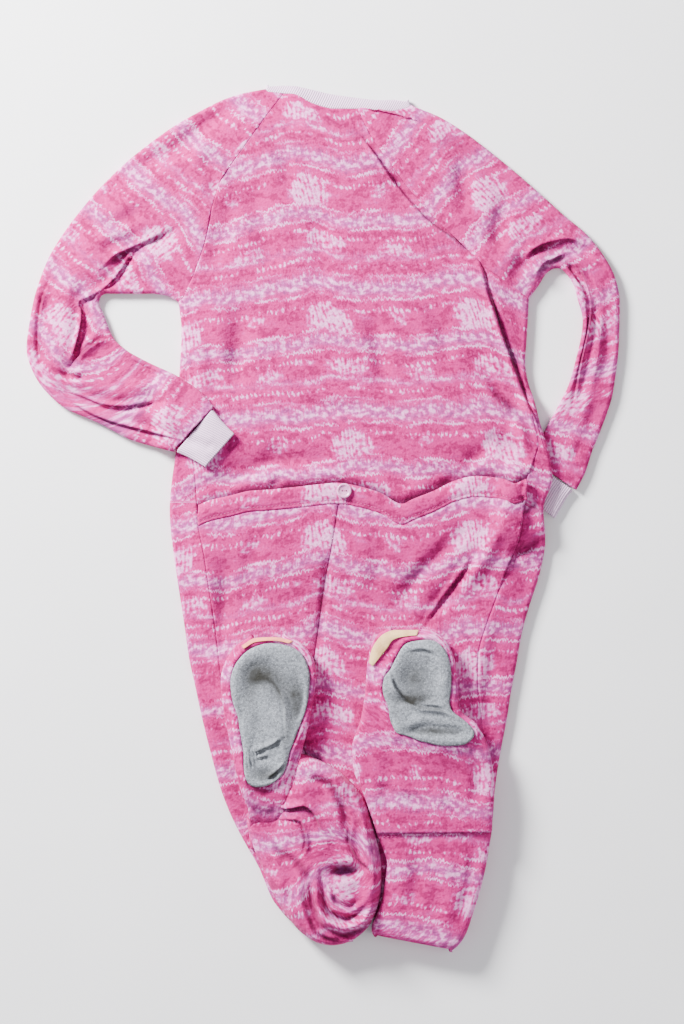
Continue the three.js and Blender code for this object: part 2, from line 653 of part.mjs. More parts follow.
/** A sleeve from the raglan seam to the cuff. */
function sleeveGeometry(isLeft) {
  const rows = isLeft ? SLEEVE_LEFT : SLEEVE_RIGHT;
  const [outer, inner] = sleeveLines(rows);
  const outerOut = outwards(outer, inner);
  const innerOut = outwards(inner, outer);
  innerOut[0] = isLeft ? ARMPIT_LEFT : ARMPIT_RIGHT;
  outerOut[0] = isLeft ? [-0.62, 0.78] : [0.72, 0.69];
  const top = isLeft ? RAGLAN_LEFT_TOP : [[94, 546], [70, 547.5], ...RAGLAN_RIGHT_TOP];
  const under = isLeft ? [...RAGLAN_LEFT_UNDER].reverse() : [[253, 311.3], ...[...RAGLAN_RIGHT_UNDER].reverse(),
    [94, 546]];
  const firstA = inset(outer[0], outerOut[0], EDGE);
  const firstB = inset(inner[0], innerOut[0], EDGE);
  const topChord = chordShares(top, firstA, firstB);
  const underChord = chordShares(under, firstB, firstA);
  const even = (count, j) => (j + 1) / (count + 1);
  const support = isLeft ? leftSupport : () => 0;
  const grid = rows.map((row, i) => {
    const high = (x, y) => {
      const raised = 1 - lift(x, y) / TUCK;
      const own = puff(x, y, [outer, inner]) - 2 * EDGE;
      return support(x, y) + (2 * EDGE + own * (isLeft ? 1 : raised)) * row.full;
    };
    const keep = row.bow > 0 ? clamp(row.bow * 1.5) : 0;
    const ease = (shares) => shares.map((share, j) => mix(even(shares.length, j), share, keep));
    const bowed = (bows) => bows.map(([x, y]) => [x * row.bow, y * row.bow]);
    return sectionRing({
      a: outer[i],
      aOut: outerOut[i],
      b: inner[i],
      bOut: innerOut[i],
      radius: EDGE * row.full,
      topShares: ease(topChord.shares),
      underShares: ease(underChord.shares),
      topBow: bowed(topChord.bows),
      underBow: bowed(underChord.bows),
      low: support,
      high,
    });
  });
  return wallGeometry(trimGrid(grid, ['first', 'last']), -FLEECE, 0, true);
}

/** A rib cuff. */
function cuffGeometry(isLeft) {
  const rows = isLeft ? CUFF_LEFT : CUFF_RIGHT;
  const [outer, inner] = sleeveLines(rows);
  const outerOut = outwards(outer, inner);
  const innerOut = outwards(inner, outer);
  const support = isLeft ? leftSupport : () => 0;
  const shares = [0.17, 0.33, 0.5, 0.67, 0.83];
  const straight = shares.map(() => [0, 0]);
  const grid = rows.map((row, i) => sectionRing({
    a: outer[i],
    aOut: outerOut[i],
    b: inner[i],
    bOut: innerOut[i],
    radius: CUFF_EDGE,
    topShares: shares,
    underShares: shares,
    topBow: straight,
    underBow: straight,
    low: support,
    high: (x, y) => support(x, y) + 2 * CUFF_EDGE,
  }));
  return wallGeometry(trimGrid(grid, ['first']), -RIB, 0, true);
}

/** The neckband, a ring whose back lies on its front. */
function neckbandGeometry() {
  const grid = [0, 0.5, 1].map((share) => {
    const at = (row) => [mix(row.seamX, row.freeX, share), mix(row.seamY, row.freeY, share)];
    const high = (x, y) => mix(bodyTop(x, y), 2 * EDGE - 2.5, share);
    const radius = mix(EDGE, EDGE - 1.2, share);
    const ring = turn(at(NECK_LEFT), [-0.62, 0.78], radius, 0);
    ring.push(...NECK_BACK.map((row) => onTop(high, at(row))));
    ring.push(...turn(at(NECK_RIGHT), [0.72, 0.69], radius, 0).reverse());
    ring.push(...NECK_FRONT.map((row) => onUnder(() => 0, at(row))));
    return ring;
  });
  return wallGeometry(trimGrid(grid, ['first']), -RIB, 0, true);
}

/** Highest point of the seat and legs round a plan point, where a folded stretch rests. */
function restHeight(x, y) {
  let most = seatTop(x, y);
  for (let k = 0; k < 8; k += 1) {
    const angle = (Math.PI * k) / 4;
    most = Math.max(most, seatTop(x + REST_REACH * Math.cos(angle), y + REST_REACH * Math.sin(angle)));
  }
  return most + LAP_GAP;
}

/** Top of a folded stretch: level, and sloped down to its closed ends. */
function slabTop(rows, level, closedEnds, edgeDepth = SLAB_EDGE) {
  const left = points(rows, 'leftX', 'leftY');
  const right = points(rows, 'rightX', 'rightY');
  const last = left.length - 1;
  const ends = [];
  if (closedEnds.includes('first')) ends.push([left[0], right[0]]);
  if (closedEnds.includes('last')) ends.push([left[last], right[last]]);
  const sides = [left, right];
  return (x, y) => {
    const side = Math.min(...sides.map((line) => lineDistance(x, y, line)));
    const end = Math.min(Infinity, ...ends.map((line) => lineDistance(x, y, line)));
    return level - 4.2 * (1 - clamp(side / edgeDepth)) - 6 * (1 - clamp(end / 9)) ** 2;
  };
}

const footRightTop = slabTop(FOOT_RIGHT, FOOT_LEVEL, ['last']);
const footLeftTop = slabTop(FOOT_LEFT, FOOT_LEVEL, ['last']);
const shinRightTop = slabTop(SHIN_RIGHT, SHIN_LEVEL, ['first']);

/** A folded stretch: a rounded solid with two layers showing at its edges. */
function slabGeometry(rows, high, columns, edgeDepth, isDropped = () => false) {
  const left = points(rows, 'leftX', 'leftY');
  const right = points(rows, 'rightX', 'rightY');
  const leftOut = outwards(left, right);
  const rightOut = outwards(right, left);
  const rings = rows.map((row, i) => {
    const low = (x, y) => (isDropped(i) ? 0 : restHeight(x, y));
    const sideProfile = (point, out) => {
      const inner = inset(point, out, edgeDepth);
      const [bottom, top] = [low(...inner), high(...inner)];
      const layer = (depth, share) => {
        const [x, y] = inset(point, out, edgeDepth * depth);
        return new THREE.Vector3(x, y, mix(bottom, top, share));
      };
      return [layer(0.42, 0.5), layer(0, 0.74), layer(1, 1), layer(0, 0.26), layer(1, 0)];
    };
    const [grooveL, bulgeL, topL, lowBulgeL, bottomL] = sideProfile(left[i], leftOut[i]);
    const [grooveR, bulgeR, topR, lowBulgeR, bottomR] = sideProfile(right[i], rightOut[i]);
    const [leftIn, rightIn] = [inset(left[i], leftOut[i], edgeDepth), inset(right[i], rightOut[i], edgeDepth)];
    const across = [];
    for (let j = 1; j < columns; j += 1) across.push(mixPoint(leftIn, rightIn, j / columns));
    const upper = across.map(([x, y]) => new THREE.Vector3(x, y, high(x, y)));
    const lower = across.map(([x, y]) => new THREE.Vector3(x, y, low(x, y))).reverse();
    return [grooveL, bulgeL, topL, ...upper, topR, bulgeR, grooveR, lowBulgeR, bottomR, ...lower, bottomL,
      lowBulgeL];
  });
  const size = rings[0].length;
  const half = size / 2;
  const faces = [];
  for (let i = 0; i < rings.length - 1; i += 1) {
    for (let j = 0; j < size; j += 1) {
      const next = (j + 1) % size;
      faces.push(...patchFaces(i * size + j, i * size + next, (i + 1) * size + next, (i + 1) * size + j));
    }
  }
  const cap = (start, isFirst) => {
    for (let j = 0; j < half; j += 1) {
      const mirror = (size - j) % size;
      const corner = [start + j, start + j + 1, start + size - j - 1, start + mirror];
      const pair = patchFaces(...(isFirst ? [...corner].reverse() : corner));
      faces.push(...pair.filter(([a, b, c]) => a !== b && b !== c && a !== c));
    }
  };
  cap(0, true);
  cap((rings.length - 1) * size, false);
  return closedGeometry(rings.flat(), faces);
}

/** Moves one end row of a table by the seam gap towards its neighbour. */
function partRows(rows, end) {
  const copy = rows.map((row) => ({ ...row }));
  const [edge, next] = end === 'first' ? [copy[0], copy[1]] : [copy[copy.length - 1], copy[copy.length - 2]];
  for (const side of ['left', 'right']) {
    const way = [next[`${side}X`] - edge[`${side}X`], next[`${side}Y`] - edge[`${side}Y`]];
    const length = Math.hypot(...way);
    edge[`${side}X`] += (way[0] / length) * SEAM_GAP;
    edge[`${side}Y`] += (way[1] / length) * SEAM_GAP;
  }
  return copy;
}

/** A sole that lies on a bootie, hollowed a little inside its rim. */
function soleGeometry(outline, height) {
  const turns = outline.radii.length;
  const shares = [0.25, 0.5, 0.72, 0.9, 1];
  const rows = shares.map((share) => outline.radii.map((radius, k) => {
    const angle = (2 * Math.PI * k) / turns;
    const reach = radius * share;
    return onTop(height, [outline.centre[0] + reach * Math.cos(angle), outline.centre[1] + reach * Math.sin(angle)]);
  }));
  const corners = [];
  for (const amount of [SEAM_GAP + SOLE, SEAM_GAP]) {
    const centre = onTop(height, outline.centre);
    corners.push(centre.place.addScaledVector(centre.out, amount));
    for (const { place, out } of rows.flat()) corners.push(place.clone().addScaledVector(out, amount));
  }
  const layer = 1 + shares.length * turns;
  const at = (i, k, inner) => 1 + i * turns + (k % turns) + (inner ? layer : 0);
  const faces = [];
  for (let k = 0; k < turns; k += 1) {
    faces.push([0, at(0, k), at(0, k + 1)], [layer, at(0, k + 1, 1), at(0, k, 1)]);
    for (let i = 0; i < shares.length - 1; i += 1) {
      faces.push(...patchFaces(at(i, k), at(i + 1, k), at(i + 1, k + 1), at(i, k + 1)));
      faces.push(...patchFaces(at(i, k, 1), at(i, k + 1, 1), at(i + 1, k + 1, 1), at(i + 1, k, 1)));
    }
    const end = shares.length - 1;
    faces.push(...patchFaces(at(end, k), at(end, k, 1), at(end, k + 1, 1), at(end, k + 1)));
  }
  return closedGeometry(corners, faces);
}

/** A plain patch at the toe, on the rounded edge of the bootie. */
function toePatchGeometry(rows, height) {
  const grid = rows.map((row) => [0, 0.35, 0.7, 1].map((share) => (
    onTop(height, [mix(row.innerX, row.outerX, share), mix(row.innerY, row.outerY, share)])
  )));
  return wallGeometry(grid, 2 * LAP_GAP, 2 * LAP_GAP + PATCH);
}

/** Two-hole button. */
function buttonGeometry() {
  const shape = new THREE.Shape();
  shape.absarc(0, 0, BUTTON_RADIUS - 0.8, 0, 2 * Math.PI, false);
  for (const side of [-1, 1]) {
    const hole = new THREE.Path();
    hole.absarc(side * 2.7, 0, BUTTON_HOLE, 0, 2 * Math.PI, true);
    shape.holes.push(hole);
  }
  return new THREE.ExtrudeGeometry(shape, {
    depth: BUTTON_THICKNESS - 1.6,
    bevelEnabled: true,
    bevelThickness: 0.8,
    bevelSize: 0.8,
    bevelOffset: 0,
    bevelSegments: 1,
    curveSegments: 9,
  });
}

const group = new THREE.Group();

/** Adds one named piece. */
function addPiece(name, geometry, color, roughness = 0.95) {
  const mesh = new THREE.Mesh(geometry, new THREE.MeshStandardMaterial({ color, roughness, metalness: 0 }));
  mesh.name = name;
  group.add(mesh);
  return mesh;
}

const PINK = '#e06ba5';
const RIB_COLOR = '#e2d8ea';
const SOLE_COLOR = '#b9bec6';
const PATCH_COLOR = '#e4cfa8';

addPiece('front_left', frontGeometry(true), PINK);
addPiece('front_right', frontGeometry(false), PINK);
addPiece('back_bodice', bodiceGeometry(), PINK);
addPiece('seat_band', bandGeometry(), PINK);
addPiece('seat_back_left', seatGeometry(true), PINK);
addPiece('seat_back_right', seatGeometry(false), PINK);
addPiece('sleeve_left', sleeveGeometry(true), PINK);
addPiece('sleeve_right', sleeveGeometry(false), PINK);
addPiece('cuff_left', cuffGeometry(true), RIB_COLOR, 0.9);
addPiece('cuff_right', cuffGeometry(false), RIB_COLOR, 0.9);
addPiece('neckband', neckbandGeometry(), RIB_COLOR, 0.9);

const rightFold = partRows(SHIN_RIGHT, 'last');
addPiece('right_lower_leg', slabGeometry(rightFold, shinRightTop, 9, SLAB_EDGE, (i) => i < 3), PINK);
addPiece('right_bootie', slabGeometry(partRows(FOOT_RIGHT, 'first'), footRightTop, 9, SLAB_EDGE), PINK);
addPiece('right_sole', soleGeometry(SOLE_RIGHT, footRightTop), SOLE_COLOR, 0.8);
addPiece('right_toe_patch', toePatchGeometry(PATCH_RIGHT, footRightTop), PATCH_COLOR);
addPiece('left_bootie', slabGeometry(partRows(FOOT_LEFT, 'first'), footLeftTop, 7, SLAB_EDGE), PINK);
addPiece('left_sole', soleGeometry(SOLE_LEFT, footLeftTop), SOLE_COLOR, 0.8);
addPiece('left_toe_patch', toePatchGeometry(PATCH_LEFT, footLeftTop), PATCH_COLOR);
addPiece('left_lower_leg', slabGeometry(partRows(SHIN_LEFT, 'last'), slabTop(SHIN_LEFT, SHIN_LEVEL + 2, ['first']), 7,
  SLAB_EDGE * 0.8), PINK);
addPiece('left_leg_outer_fold', slabGeometry(OUTER_FOLD, slabTop(OUTER_FOLD, ROLL_LEVEL - 3, []), 3,
  SLAB_EDGE * 0.6), PINK);
addPiece('left_leg_inner_fold', slabGeometry(INNER_FOLD, slabTop(INNER_FOLD, ROLL_LEVEL, []), 4,
  SLAB_EDGE * 0.8), PINK);

const button = addPiece('button', buttonGeometry(), '#efc9e4', 0.4);
let buttonRest = 0;
for (let k = 0; k < 16; k += 1) {
  const angle = (Math.PI * k) / 8;
  const x = BUTTON_PLACE[0] + BUTTON_RADIUS * Math.cos(angle);
  const y = BUTTON_PLACE[1] + BUTTON_RADIUS * Math.sin(angle);
  buttonRest = Math.max(buttonRest, seatTop(x, y) + BAND_WALL - FLEECE);
}
button.position.set(...BUTTON_PLACE, buttonRest + 0.8 + SEAM_GAP);

// The origin is the middle of the flat underside.
group.updateMatrixWorld(true);
const box = new THREE.Box3().setFromObject(group, true);
for (const mesh of group.children) {
  mesh.position.x -= (box.min.x + box.max.x) / 2;
  mesh.position.y -= (box.min.y + box.max.y) / 2;
  mesh.position.z -= box.min.z;
}

export default group;
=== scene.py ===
import logging
import math
from collections.abc import Callable
from dataclasses import dataclass
from enum import Enum

import bmesh
import bpy
import numpy as np
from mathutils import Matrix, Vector


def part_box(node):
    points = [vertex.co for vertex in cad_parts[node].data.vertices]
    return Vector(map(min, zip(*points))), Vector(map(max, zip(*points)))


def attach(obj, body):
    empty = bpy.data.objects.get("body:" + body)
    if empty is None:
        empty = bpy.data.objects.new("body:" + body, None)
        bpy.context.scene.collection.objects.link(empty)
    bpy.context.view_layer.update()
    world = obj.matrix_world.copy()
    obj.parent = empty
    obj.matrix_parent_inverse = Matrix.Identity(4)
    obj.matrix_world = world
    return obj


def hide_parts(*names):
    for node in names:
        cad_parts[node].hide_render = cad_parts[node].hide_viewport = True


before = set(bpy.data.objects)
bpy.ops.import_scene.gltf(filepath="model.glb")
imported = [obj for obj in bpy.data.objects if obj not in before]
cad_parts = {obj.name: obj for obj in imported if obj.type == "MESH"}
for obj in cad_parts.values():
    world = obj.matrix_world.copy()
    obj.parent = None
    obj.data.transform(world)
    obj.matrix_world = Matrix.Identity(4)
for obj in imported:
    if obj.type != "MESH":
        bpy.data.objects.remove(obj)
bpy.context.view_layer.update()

# A footed onesie pajama of printed fleece, laid flat with its back up. Plan sizes are in millimetres,
# +Y towards the neck and +X to the right from above, and meshes are made in metres.

log = logging.getLogger("onesie")

MM = 0.001
FLEECE = 2.4  # thickness of the fleece
RIB = 2.0  # thickness of the rib knit
EDGE = 5.5  # radius of a soft turned edge
LOFT = 5.0  # rise of the upper layer away from its edges
SEAM_GAP = 0.4
LAP_GAP = 0.6
FLAP_STEP = 5.6  # height of the drop seat over the bodice
FLAP_LAP = 95.0  # how far down the drop seat stands clear of the bodice
BAND_DEPTH = 26.0
TUCK = 9.8  # lift of the body's edge over the tucked right cuff
CUFF_EDGE = 4.2
FOOT_LEVEL = 35.0
SHIN_LEVEL = 31.0
SLAB_EDGE = 6.0  # depth of a folded stretch's rounded side
REST_REACH = 15.0  # how far round a place a folded stretch looks for support
SOLE = 2.2
RIM_RISE = 3.8  # how far the fleece stands up round a sole
RIM_OUTSIDE = 4.0
RIM_WIDTH = 4.5
PATCH = 1.2
CUT_FILL = 0.55  # least share of its cut's width by length that a shaped piece fills
LEAST_WIDTH = 0.011  # metres

Line = np.ndarray
Height = Callable[[np.ndarray, np.ndarray], np.ndarray]


def rows_of(text: str) -> Line:
    """Reads a short table of plan points.

    Args:
        text: Rows split by semicolons, numbers by spaces.

    Returns:
        One row of numbers for each row of the table.
    """
    return np.array([[float(v) for v in row.split()] for row in text.split(";")])


# Back bodice, rows from the neck to the hem: left x, left y, right x, right y.
BODICE = rows_of(
    "-53 570 47 549; -81 533 62 515; -108 495 84 484; -136 455 112 446; -150 414 144 408;"
    "-157 377 178 376; -166 348 197 357; -176 322 213 340; -188 296 222 315; -184 250 232 278;"
    "-183 205 246 232; -183 163 258 200; -180 118 272 165; -177 86 282 132; -172 50 289 95;"
    "-170 14 273 51; -168 -12 271 25; -160 -50 262 -30"
)
LEFT_EDGE = rows_of("-195 290; -191 252; -193 207; -196 163; -198 117; -199 86; -204 50; -207 14")
RIGHT_EDGE = rows_of(
    "277 293; 276 272; 274 240; 272 207; 276 182; 283 160; 291 128; 302 92; 308 50"
)
# Seat and legs: left edge, left side seam, middle seam, right side seam, right edge, x and y each.
LEGS = rows_of(
    "-206 -12 -168 -12 21 19 271 25 296 14; -202 -48 -160 -50 12 -38 262 -30 299 -37;"
    "-195.5 -92 -153 -98 1 -95 247 -66 290.5 -80; -188 -140 -146 -142 -6 -148 232 -110 278 -118;"
    "-181 -189 -140 -193 -13 -195 219 -145 267.5 -156; -173 -226 -136 -228 -20 -235 209 -180 261 -193;"
    "-164 -268 -129 -277 -25 -275 208 -225 252.5 -238; -155 -305 -122 -315 -27 -312 213 -268 248 -268;"
    "-139.5 -362 -108 -369 0 -362 217 -312 239 -315; -125 -400 -97 -405 15 -398 218 -352 233 -352;"
    "-107.5 -435 -84 -433 28 -433 217 -395 228 -397; -87 -471 -64 -466 40 -466 213 -435 224 -440;"
    "-67 -517 -44 -503 50 -497 205 -475 216 -482; -37 -550 -22 -532 56 -520 195 -510 205 -518;"
    "5 -574 6 -551 60 -538 183 -546 192 -548"
)
LEFT_LEG_END = ((40.0, -571.5), (40.0, -557.0), (62.0, -549.0))  # edge, side seam, middle seam
CROTCH_ROW = 7
FLAP_TOP = rows_of(
    "-170 14; -151 22; -124 28; -100 34; -70 36; -31 40; 18 45; 49 40; 78 31; 97 19; 108 17;"
    "120 23; 148 34; 174 47; 200 54; 223 53; 243 50; 256 44; 273 51"
)
# Neck: seam of the band and its free edge, x and y each.
NECK_BACK = rows_of(
    "-53 570 -57 581; -36 568 -38 580.5; -16 557 -17 576; 8 549.5 8 570; 28 549 28 567;"
    "47 549 50 564; 70 547.5 73 561.5; 94 546 96 562"
)
NECK_FRONT = rows_of(
    "94 546 88 556; 47 549 46 560; 30 520 30 536; 10 500 10 516; -25 528 -22 544; -53 570 -48 577"
)
NECK_LEFT = (-78.0, 577.0, -76.0, 583.0)
NECK_RIGHT = (118.0, 555.0, 115.0, 563.0)
NECK_OUT_LEFT = (-0.62, 0.78)  # which way the neck's sides face
NECK_OUT_RIGHT = (0.72, 0.69)
NECK_CORNER_RIGHT = (94.0, 546.0)  # where the right raglan seam meets the band
ARMPIT_CORNER_RIGHT = (253.0, 311.3)  # where it meets the armpit
# Sleeves: outer x y, inner x y, share of the raglan bow, fullness.
SLEEVE_LEFT = rows_of(
    "-78 577 -195 290 1 1; -111 570.5 -202 294 .8 1; -144 558.5 -209 298 .6 1;"
    "-202 526.5 -228 301 .3 1; -259 484 -250 301 .1 1; -305 439.5 -278 301 0 1;"
    "-342 394 -293 301 0 1; -370 350 -299 298 0 1; -389 298 -302 291 0 1;"
    "-399 242 -301 284 0 1; -399 218 -297 276 0 1; -390 193 -292 263 0 1; -376 172 -287 250 0 1;"
    "-349 147.5 -280 238 0 1; -303 127 -262 223 0 1; -261 105 -234 208 0 1; -228 95 -196 190 0 .95;"
    "-206 89 -166 170 0 .88; -200 88 -146 148 0 .8"
)
SLEEVE_RIGHT = rows_of(
    "118 555 277 293 1 1; 158.5 538.5 282 301 .7 1; 199 512.5 290 312 .42 1; 251 471.5 300 328 .2 1;"
    "292 436 311 335 .06 1; 323 408 321 334 0 1; 352 384 331 323 0 1; 374 358 338 311 0 1;"
    "391 329 343 292 0 1; 399 298 349 270 0 1; 399 254 348 248 0 1; 397 215 342 220 0 .95;"
    "390 166 331 180 0 .88; 383 142 317 151 0 .82; 373 115 301 122 0 .8; 362 88 289 98 0 .8;"
    "353 60 283 84 0 .8; 341 37 281 75 0 .8"
)
# How the print turns in a sleeve: the elbow's place, degrees above and below it, length above it.
SLEEVE_BENDS = {
    "left": ((-335.0, 235.0), (-49.0, 59.0), 300.0),
    "right": ((352.0, 315.0), (39.0, -6.0), 250.0),
}
SLEEVE_BEND_LENGTH = 170.0
ARMPIT_LEFT = (-0.75, -0.66)
ARMPIT_RIGHT = (0.7, -0.71)
CUFF_LEFT = rows_of("-196.5 87.5 -147.5 144.5; -184 82 -139 133; -171 75 -129 122; -158 67 -119 112")
CUFF_RIGHT = rows_of("336 36.5 283 74; 327 24.5 275 62; 319.5 11.5 266 50; 312.5 -1 257 38")
TUCK_SPINE = rows_of("300 128; 292 80; 272 6")
TUCK_FULL = 27.0
TUCK_FADE = 26.0
NECK_LOW = (10.0, 500.0)

# Soft folds shared with the solids: from x y, to x y, half width, height.
FOLDS = rows_of(
    "-92 427 -73 349 16 -3; -5 393 -1 327 14 -2.5; -111 266 -119 190 18 -3.5; 67 254 82 184 14 -2.5;"
    "-24 525 84 462 18 3; 96 450 192 363 18 -3; 211 213 253 136 14 -3; -169 28 -117 58 14 -3.5;"
    "-117 58 -65 80 15 -3.5; -65 80 -5 78 14 -3; 151 46 215 90 14 -3.5; 232 104 266 77 12 -3;"
    "204 -49 158 -111 12 -4; 158 -111 135 -144 10 -3; 239 -11 188 -94 15 3; 184 -23 104 -112 15 -3;"
    "-132 -72 -136 -166 16 -3; 5 -66 -13 -193 10 -2; 293 -27 255 -50 9 -3; -146 543 -189 498 14 -3;"
    "-189 498 -234 479 13 -2.5; -166 495 -136 440 14 2.5; -126 408 -146 347 14 -2.5;"
    "186 475 189 421 12 -2.5; 243 421 232 374 14 -3; 350 319 363 274 9 -4; 363 274 342 163 9 -3.5;"
    "298 363 355 358 9 -3.5; 272 306 298 350 12 3; -205 379 -257 360 12 -3; -257 360 -296 306 11 -4;"
    "-328 293 -325 250 10 -5; -325 250 -347 194 10 -4.5; -352 169 -267 150 10 -4;"
    "-267 150 -223 155 9 -3; -344 157 -192 106 8 -3; -385 279 -383 212 7 -3"
)
# Folded legs and feet, rows along each: left x y, right x y.
SHIN_RIGHT = rows_of(
    "68 -562.5 172 -582.5; 65 -555 184 -571; 66 -545 193 -555; 77 -520 203 -524;"
    "82 -492 212 -494; 85 -460 219 -463; 72 -424 226 -421"
)
FOOT_RIGHT = rows_of(
    "72 -424 226 -421; 65 -402 227 -404; 54 -370 229 -376; 41 -340 229 -348; 39 -304 221 -306;"
    "49 -275 205 -276; 54 -250 184 -258; 57 -222 180 -222; 59 -195 176 -191; 64 -172 166 -167;"
    "74 -156 150 -154; 90 -148 132 -148"
)
FOOT_LEFT = rows_of(
    "-95 -446 -58 -447; -99 -415 -54 -417; -101 -388 -50 -388; -112 -362 -43 -364;"
    "-118 -335 -35 -337; -124 -305 -27 -308; -131 -272 -19 -276; -136 -240 -13 -243;"
    "-137 -214 -9 -212; -131 -193 -14 -187; -117 -172 -30 -168; -96 -158 -52 -157"
)
SOLE_LEFT = ((-75.0, -262.0), rows_of(
    "50; 56; 65; 80; 93; 95; 94; 89; 80; 68; 55; 46; 40; 39; 42; 48; 62; 97; 96; 83; 60; 51; 47; 47"
)[:, 0])
SOLE_RIGHT = ((128.0, -250.0), rows_of(
    "41; 42; 47; 55; 67; 81; 88; 86; 83; 70; 61; 59; 54; 48; 42; 41; 42; 45; 48; 45; 45; 48; 52; 60;"
    "70; 82; 82; 48"
)[:, 0])
PATCH_LEFT = rows_of(
    "-106 -175 -109 -171.5; -92 -166.5 -94 -162; -75 -164.5 -75 -160; -58 -165 -57 -160.5;"
    "-46 -168 -40 -165"
)
PATCH_RIGHT = rows_of(
    "66 -199 61 -194; 78 -184 63.5 -181; 86 -174 68 -170; 92 -165 78 -157.5; 101 -160.5 92 -151;"
    "114 -158 112 -150.5; 125 -157 128 -150.5"
)
# Rise of the printed bands across the back, and across the seat: x, rise.
BACK_BANDS = rows_of("-210 -30; -166 -22; -110 -4; -60 2; 3 0; 23 -3; 90 6; 150 7; 192 4; 266 -6; 310 -15")
BACK_DOME = (8, 262)  # middle of one dome of the print on the back
BACK_LEAN = 0.18  # how far the column of domes leans
SEAT_DOME_Y = -34
SEAT_BANDS = rows_of("-210 -36; -160 -25; -90 -5; -30 0; 3 3; 30 -2; 90 -2; 150 -5; 215 3; 300 17")


@dataclass(frozen=True)
class Crease:
    """One crease laid in the cloth.

    A negative height is a trough and a positive one a ridge. A lap drops sharply on the right of its
    line, where one layer hangs over the next.
    """

    width: float
    height: float
    points: tuple[tuple[float, float], ...]
    lap: bool = False


BODY_CREASES = (
    Crease(6, 3.6, ((305, 90), (289, 127), (275, 151), (265, 181), (252, 217), (239, 252), (227, 286),
            (219, 313), (212, 342), (201, 360)), lap=True),
    Crease(6, 2.6, ((207, 344), (177, 374), (139, 401), (96, 450), (66, 493), (43, 522)), lap=True),
    Crease(5, -3.0, ((219, 196), (235, 165), (259, 142), (275, 115), (284, 96))),
    Crease(9, -2.4, ((232, 108), (250, 103), (263, 82))),
    Crease(12, -1.5, ((-111, 266), (-119, 190))),
    Crease(9, -1.2, ((68, 254), (82, 184))),
    Crease(7, 1.4, ((-24, 525), (36, 495), (84, 462))),
    Crease(6, -1.6, ((-4, 536), (39, 520), (66, 493))),
    Crease(6, -1.2, ((-144, 30), (-117, 51), (-65, 78), (-5, 78))),
    Crease(5, -1.8, ((-72, 37), (-55, 58))),
    Crease(7, -1.6, ((151, 36), (185, 61), (215, 90))),
    Crease(6, -1.6, ((232, 104), (266, 77))),
    Crease(10, -1.4, ((-157, 252), (-147, 196), (-154, 144))),
    Crease(10, -1.0, ((-31, 165), (9, 147), (66, 155))),
    Crease(10, -1.2, ((131, 293), (158, 252), (166, 196))),
    Crease(9, -1.3, ((-82, 522), (-54, 482), (-45, 431))),
)
SEAT_CREASES = (
    Crease(6, 3.0, ((135, -147), (158, -112), (184, -78), (204, -47)), lap=True),
    Crease(8, 1.8, ((239, -11), (217, -53), (188, -94))),
    Crease(8, -1.6, ((184, -23), (144, -58), (120, -84), (104, -112))),
    Crease(4.5, -1.1, ((5, -31), (4, -66), (1, -105), (-5, -144), (-13, -193))),
    Crease(9, -1.4, ((-132, -72), (-136, -166))),
    Crease(10, -1.0, ((-82, -15), (-99, -58), (-103, -109))),
    Crease(11, -1.0, ((66, -4), (74, -58), (58, -120))),
    Crease(5, -2.6, ((293, -27), (273, -43), (255, -50))),
    Crease(5, 2.6, ((296, 27), (278, 12), (262, 2), (247, -3)), lap=True),
    Crease(5, 2.4, ((271, 54), (268, 34), (272, 14)), lap=True),
    Crease(9, -1.4, ((239, -128), (223, -220), (209, -328))),
    Crease(9, -1.2, ((223, -369), (198, -463), (174, -544))),
    Crease(8, -1.2, ((-147, -247), (-123, -328), (-96, -423))),
)
SLEEVE_LEFT_CREASES = (
    Crease(6, 3.0, ((-296, 336), (-278, 351), (-254, 363), (-231, 373), (-204, 387)), lap=True),
    Crease(6, 3.4, ((-296, 305), (-278, 323), (-265, 342), (-254, 363)), lap=True),
    Crease(7, 3.6, ((-348, 194), (-338, 212), (-331, 232), (-325, 259), (-324, 278), (-328, 289),
            (-309, 298), (-292, 310)), lap=True),
    Crease(6, 3.0, ((-285, 240), (-301, 238), (-321, 224), (-336, 208), (-347, 193)), lap=True),
    Crease(4, -4.0, ((-350, 193), (-336, 188), (-320, 189))),
    Crease(5, 2.4, ((-369, 315), (-379, 289), (-383, 259), (-383, 232), (-379, 204)), lap=True),
    Crease(6, 3.0, ((-355, 171), (-325, 162), (-298, 151), (-267, 148), (-240, 153),
            (-217, 158)), lap=True),
    Crease(5, 3.4, ((-350, 166), (-319, 142), (-285, 128), (-251, 119), (-220, 111),
            (-190, 103)), lap=True),
    Crease(12, -0.9, ((-146, 543), (-166, 522), (-189, 498), (-213, 487), (-234, 482))),
    Crease(9, -1.8, ((-166, 489), (-150, 458), (-147, 421))),
    Crease(9, -1.6, ((-128, 441), (-144, 374))),
    Crease(7, -1.6, ((-304, 358), (-277, 369), (-240, 387))),
    Crease(9, -1.4, ((-308, 394), (-274, 398), (-234, 421))),
    Crease(8, 1.4, ((-274, 171), (-234, 178), (-200, 165))),
    Crease(9, -1.4, ((-261, 219), (-234, 201), (-207, 196))),
)
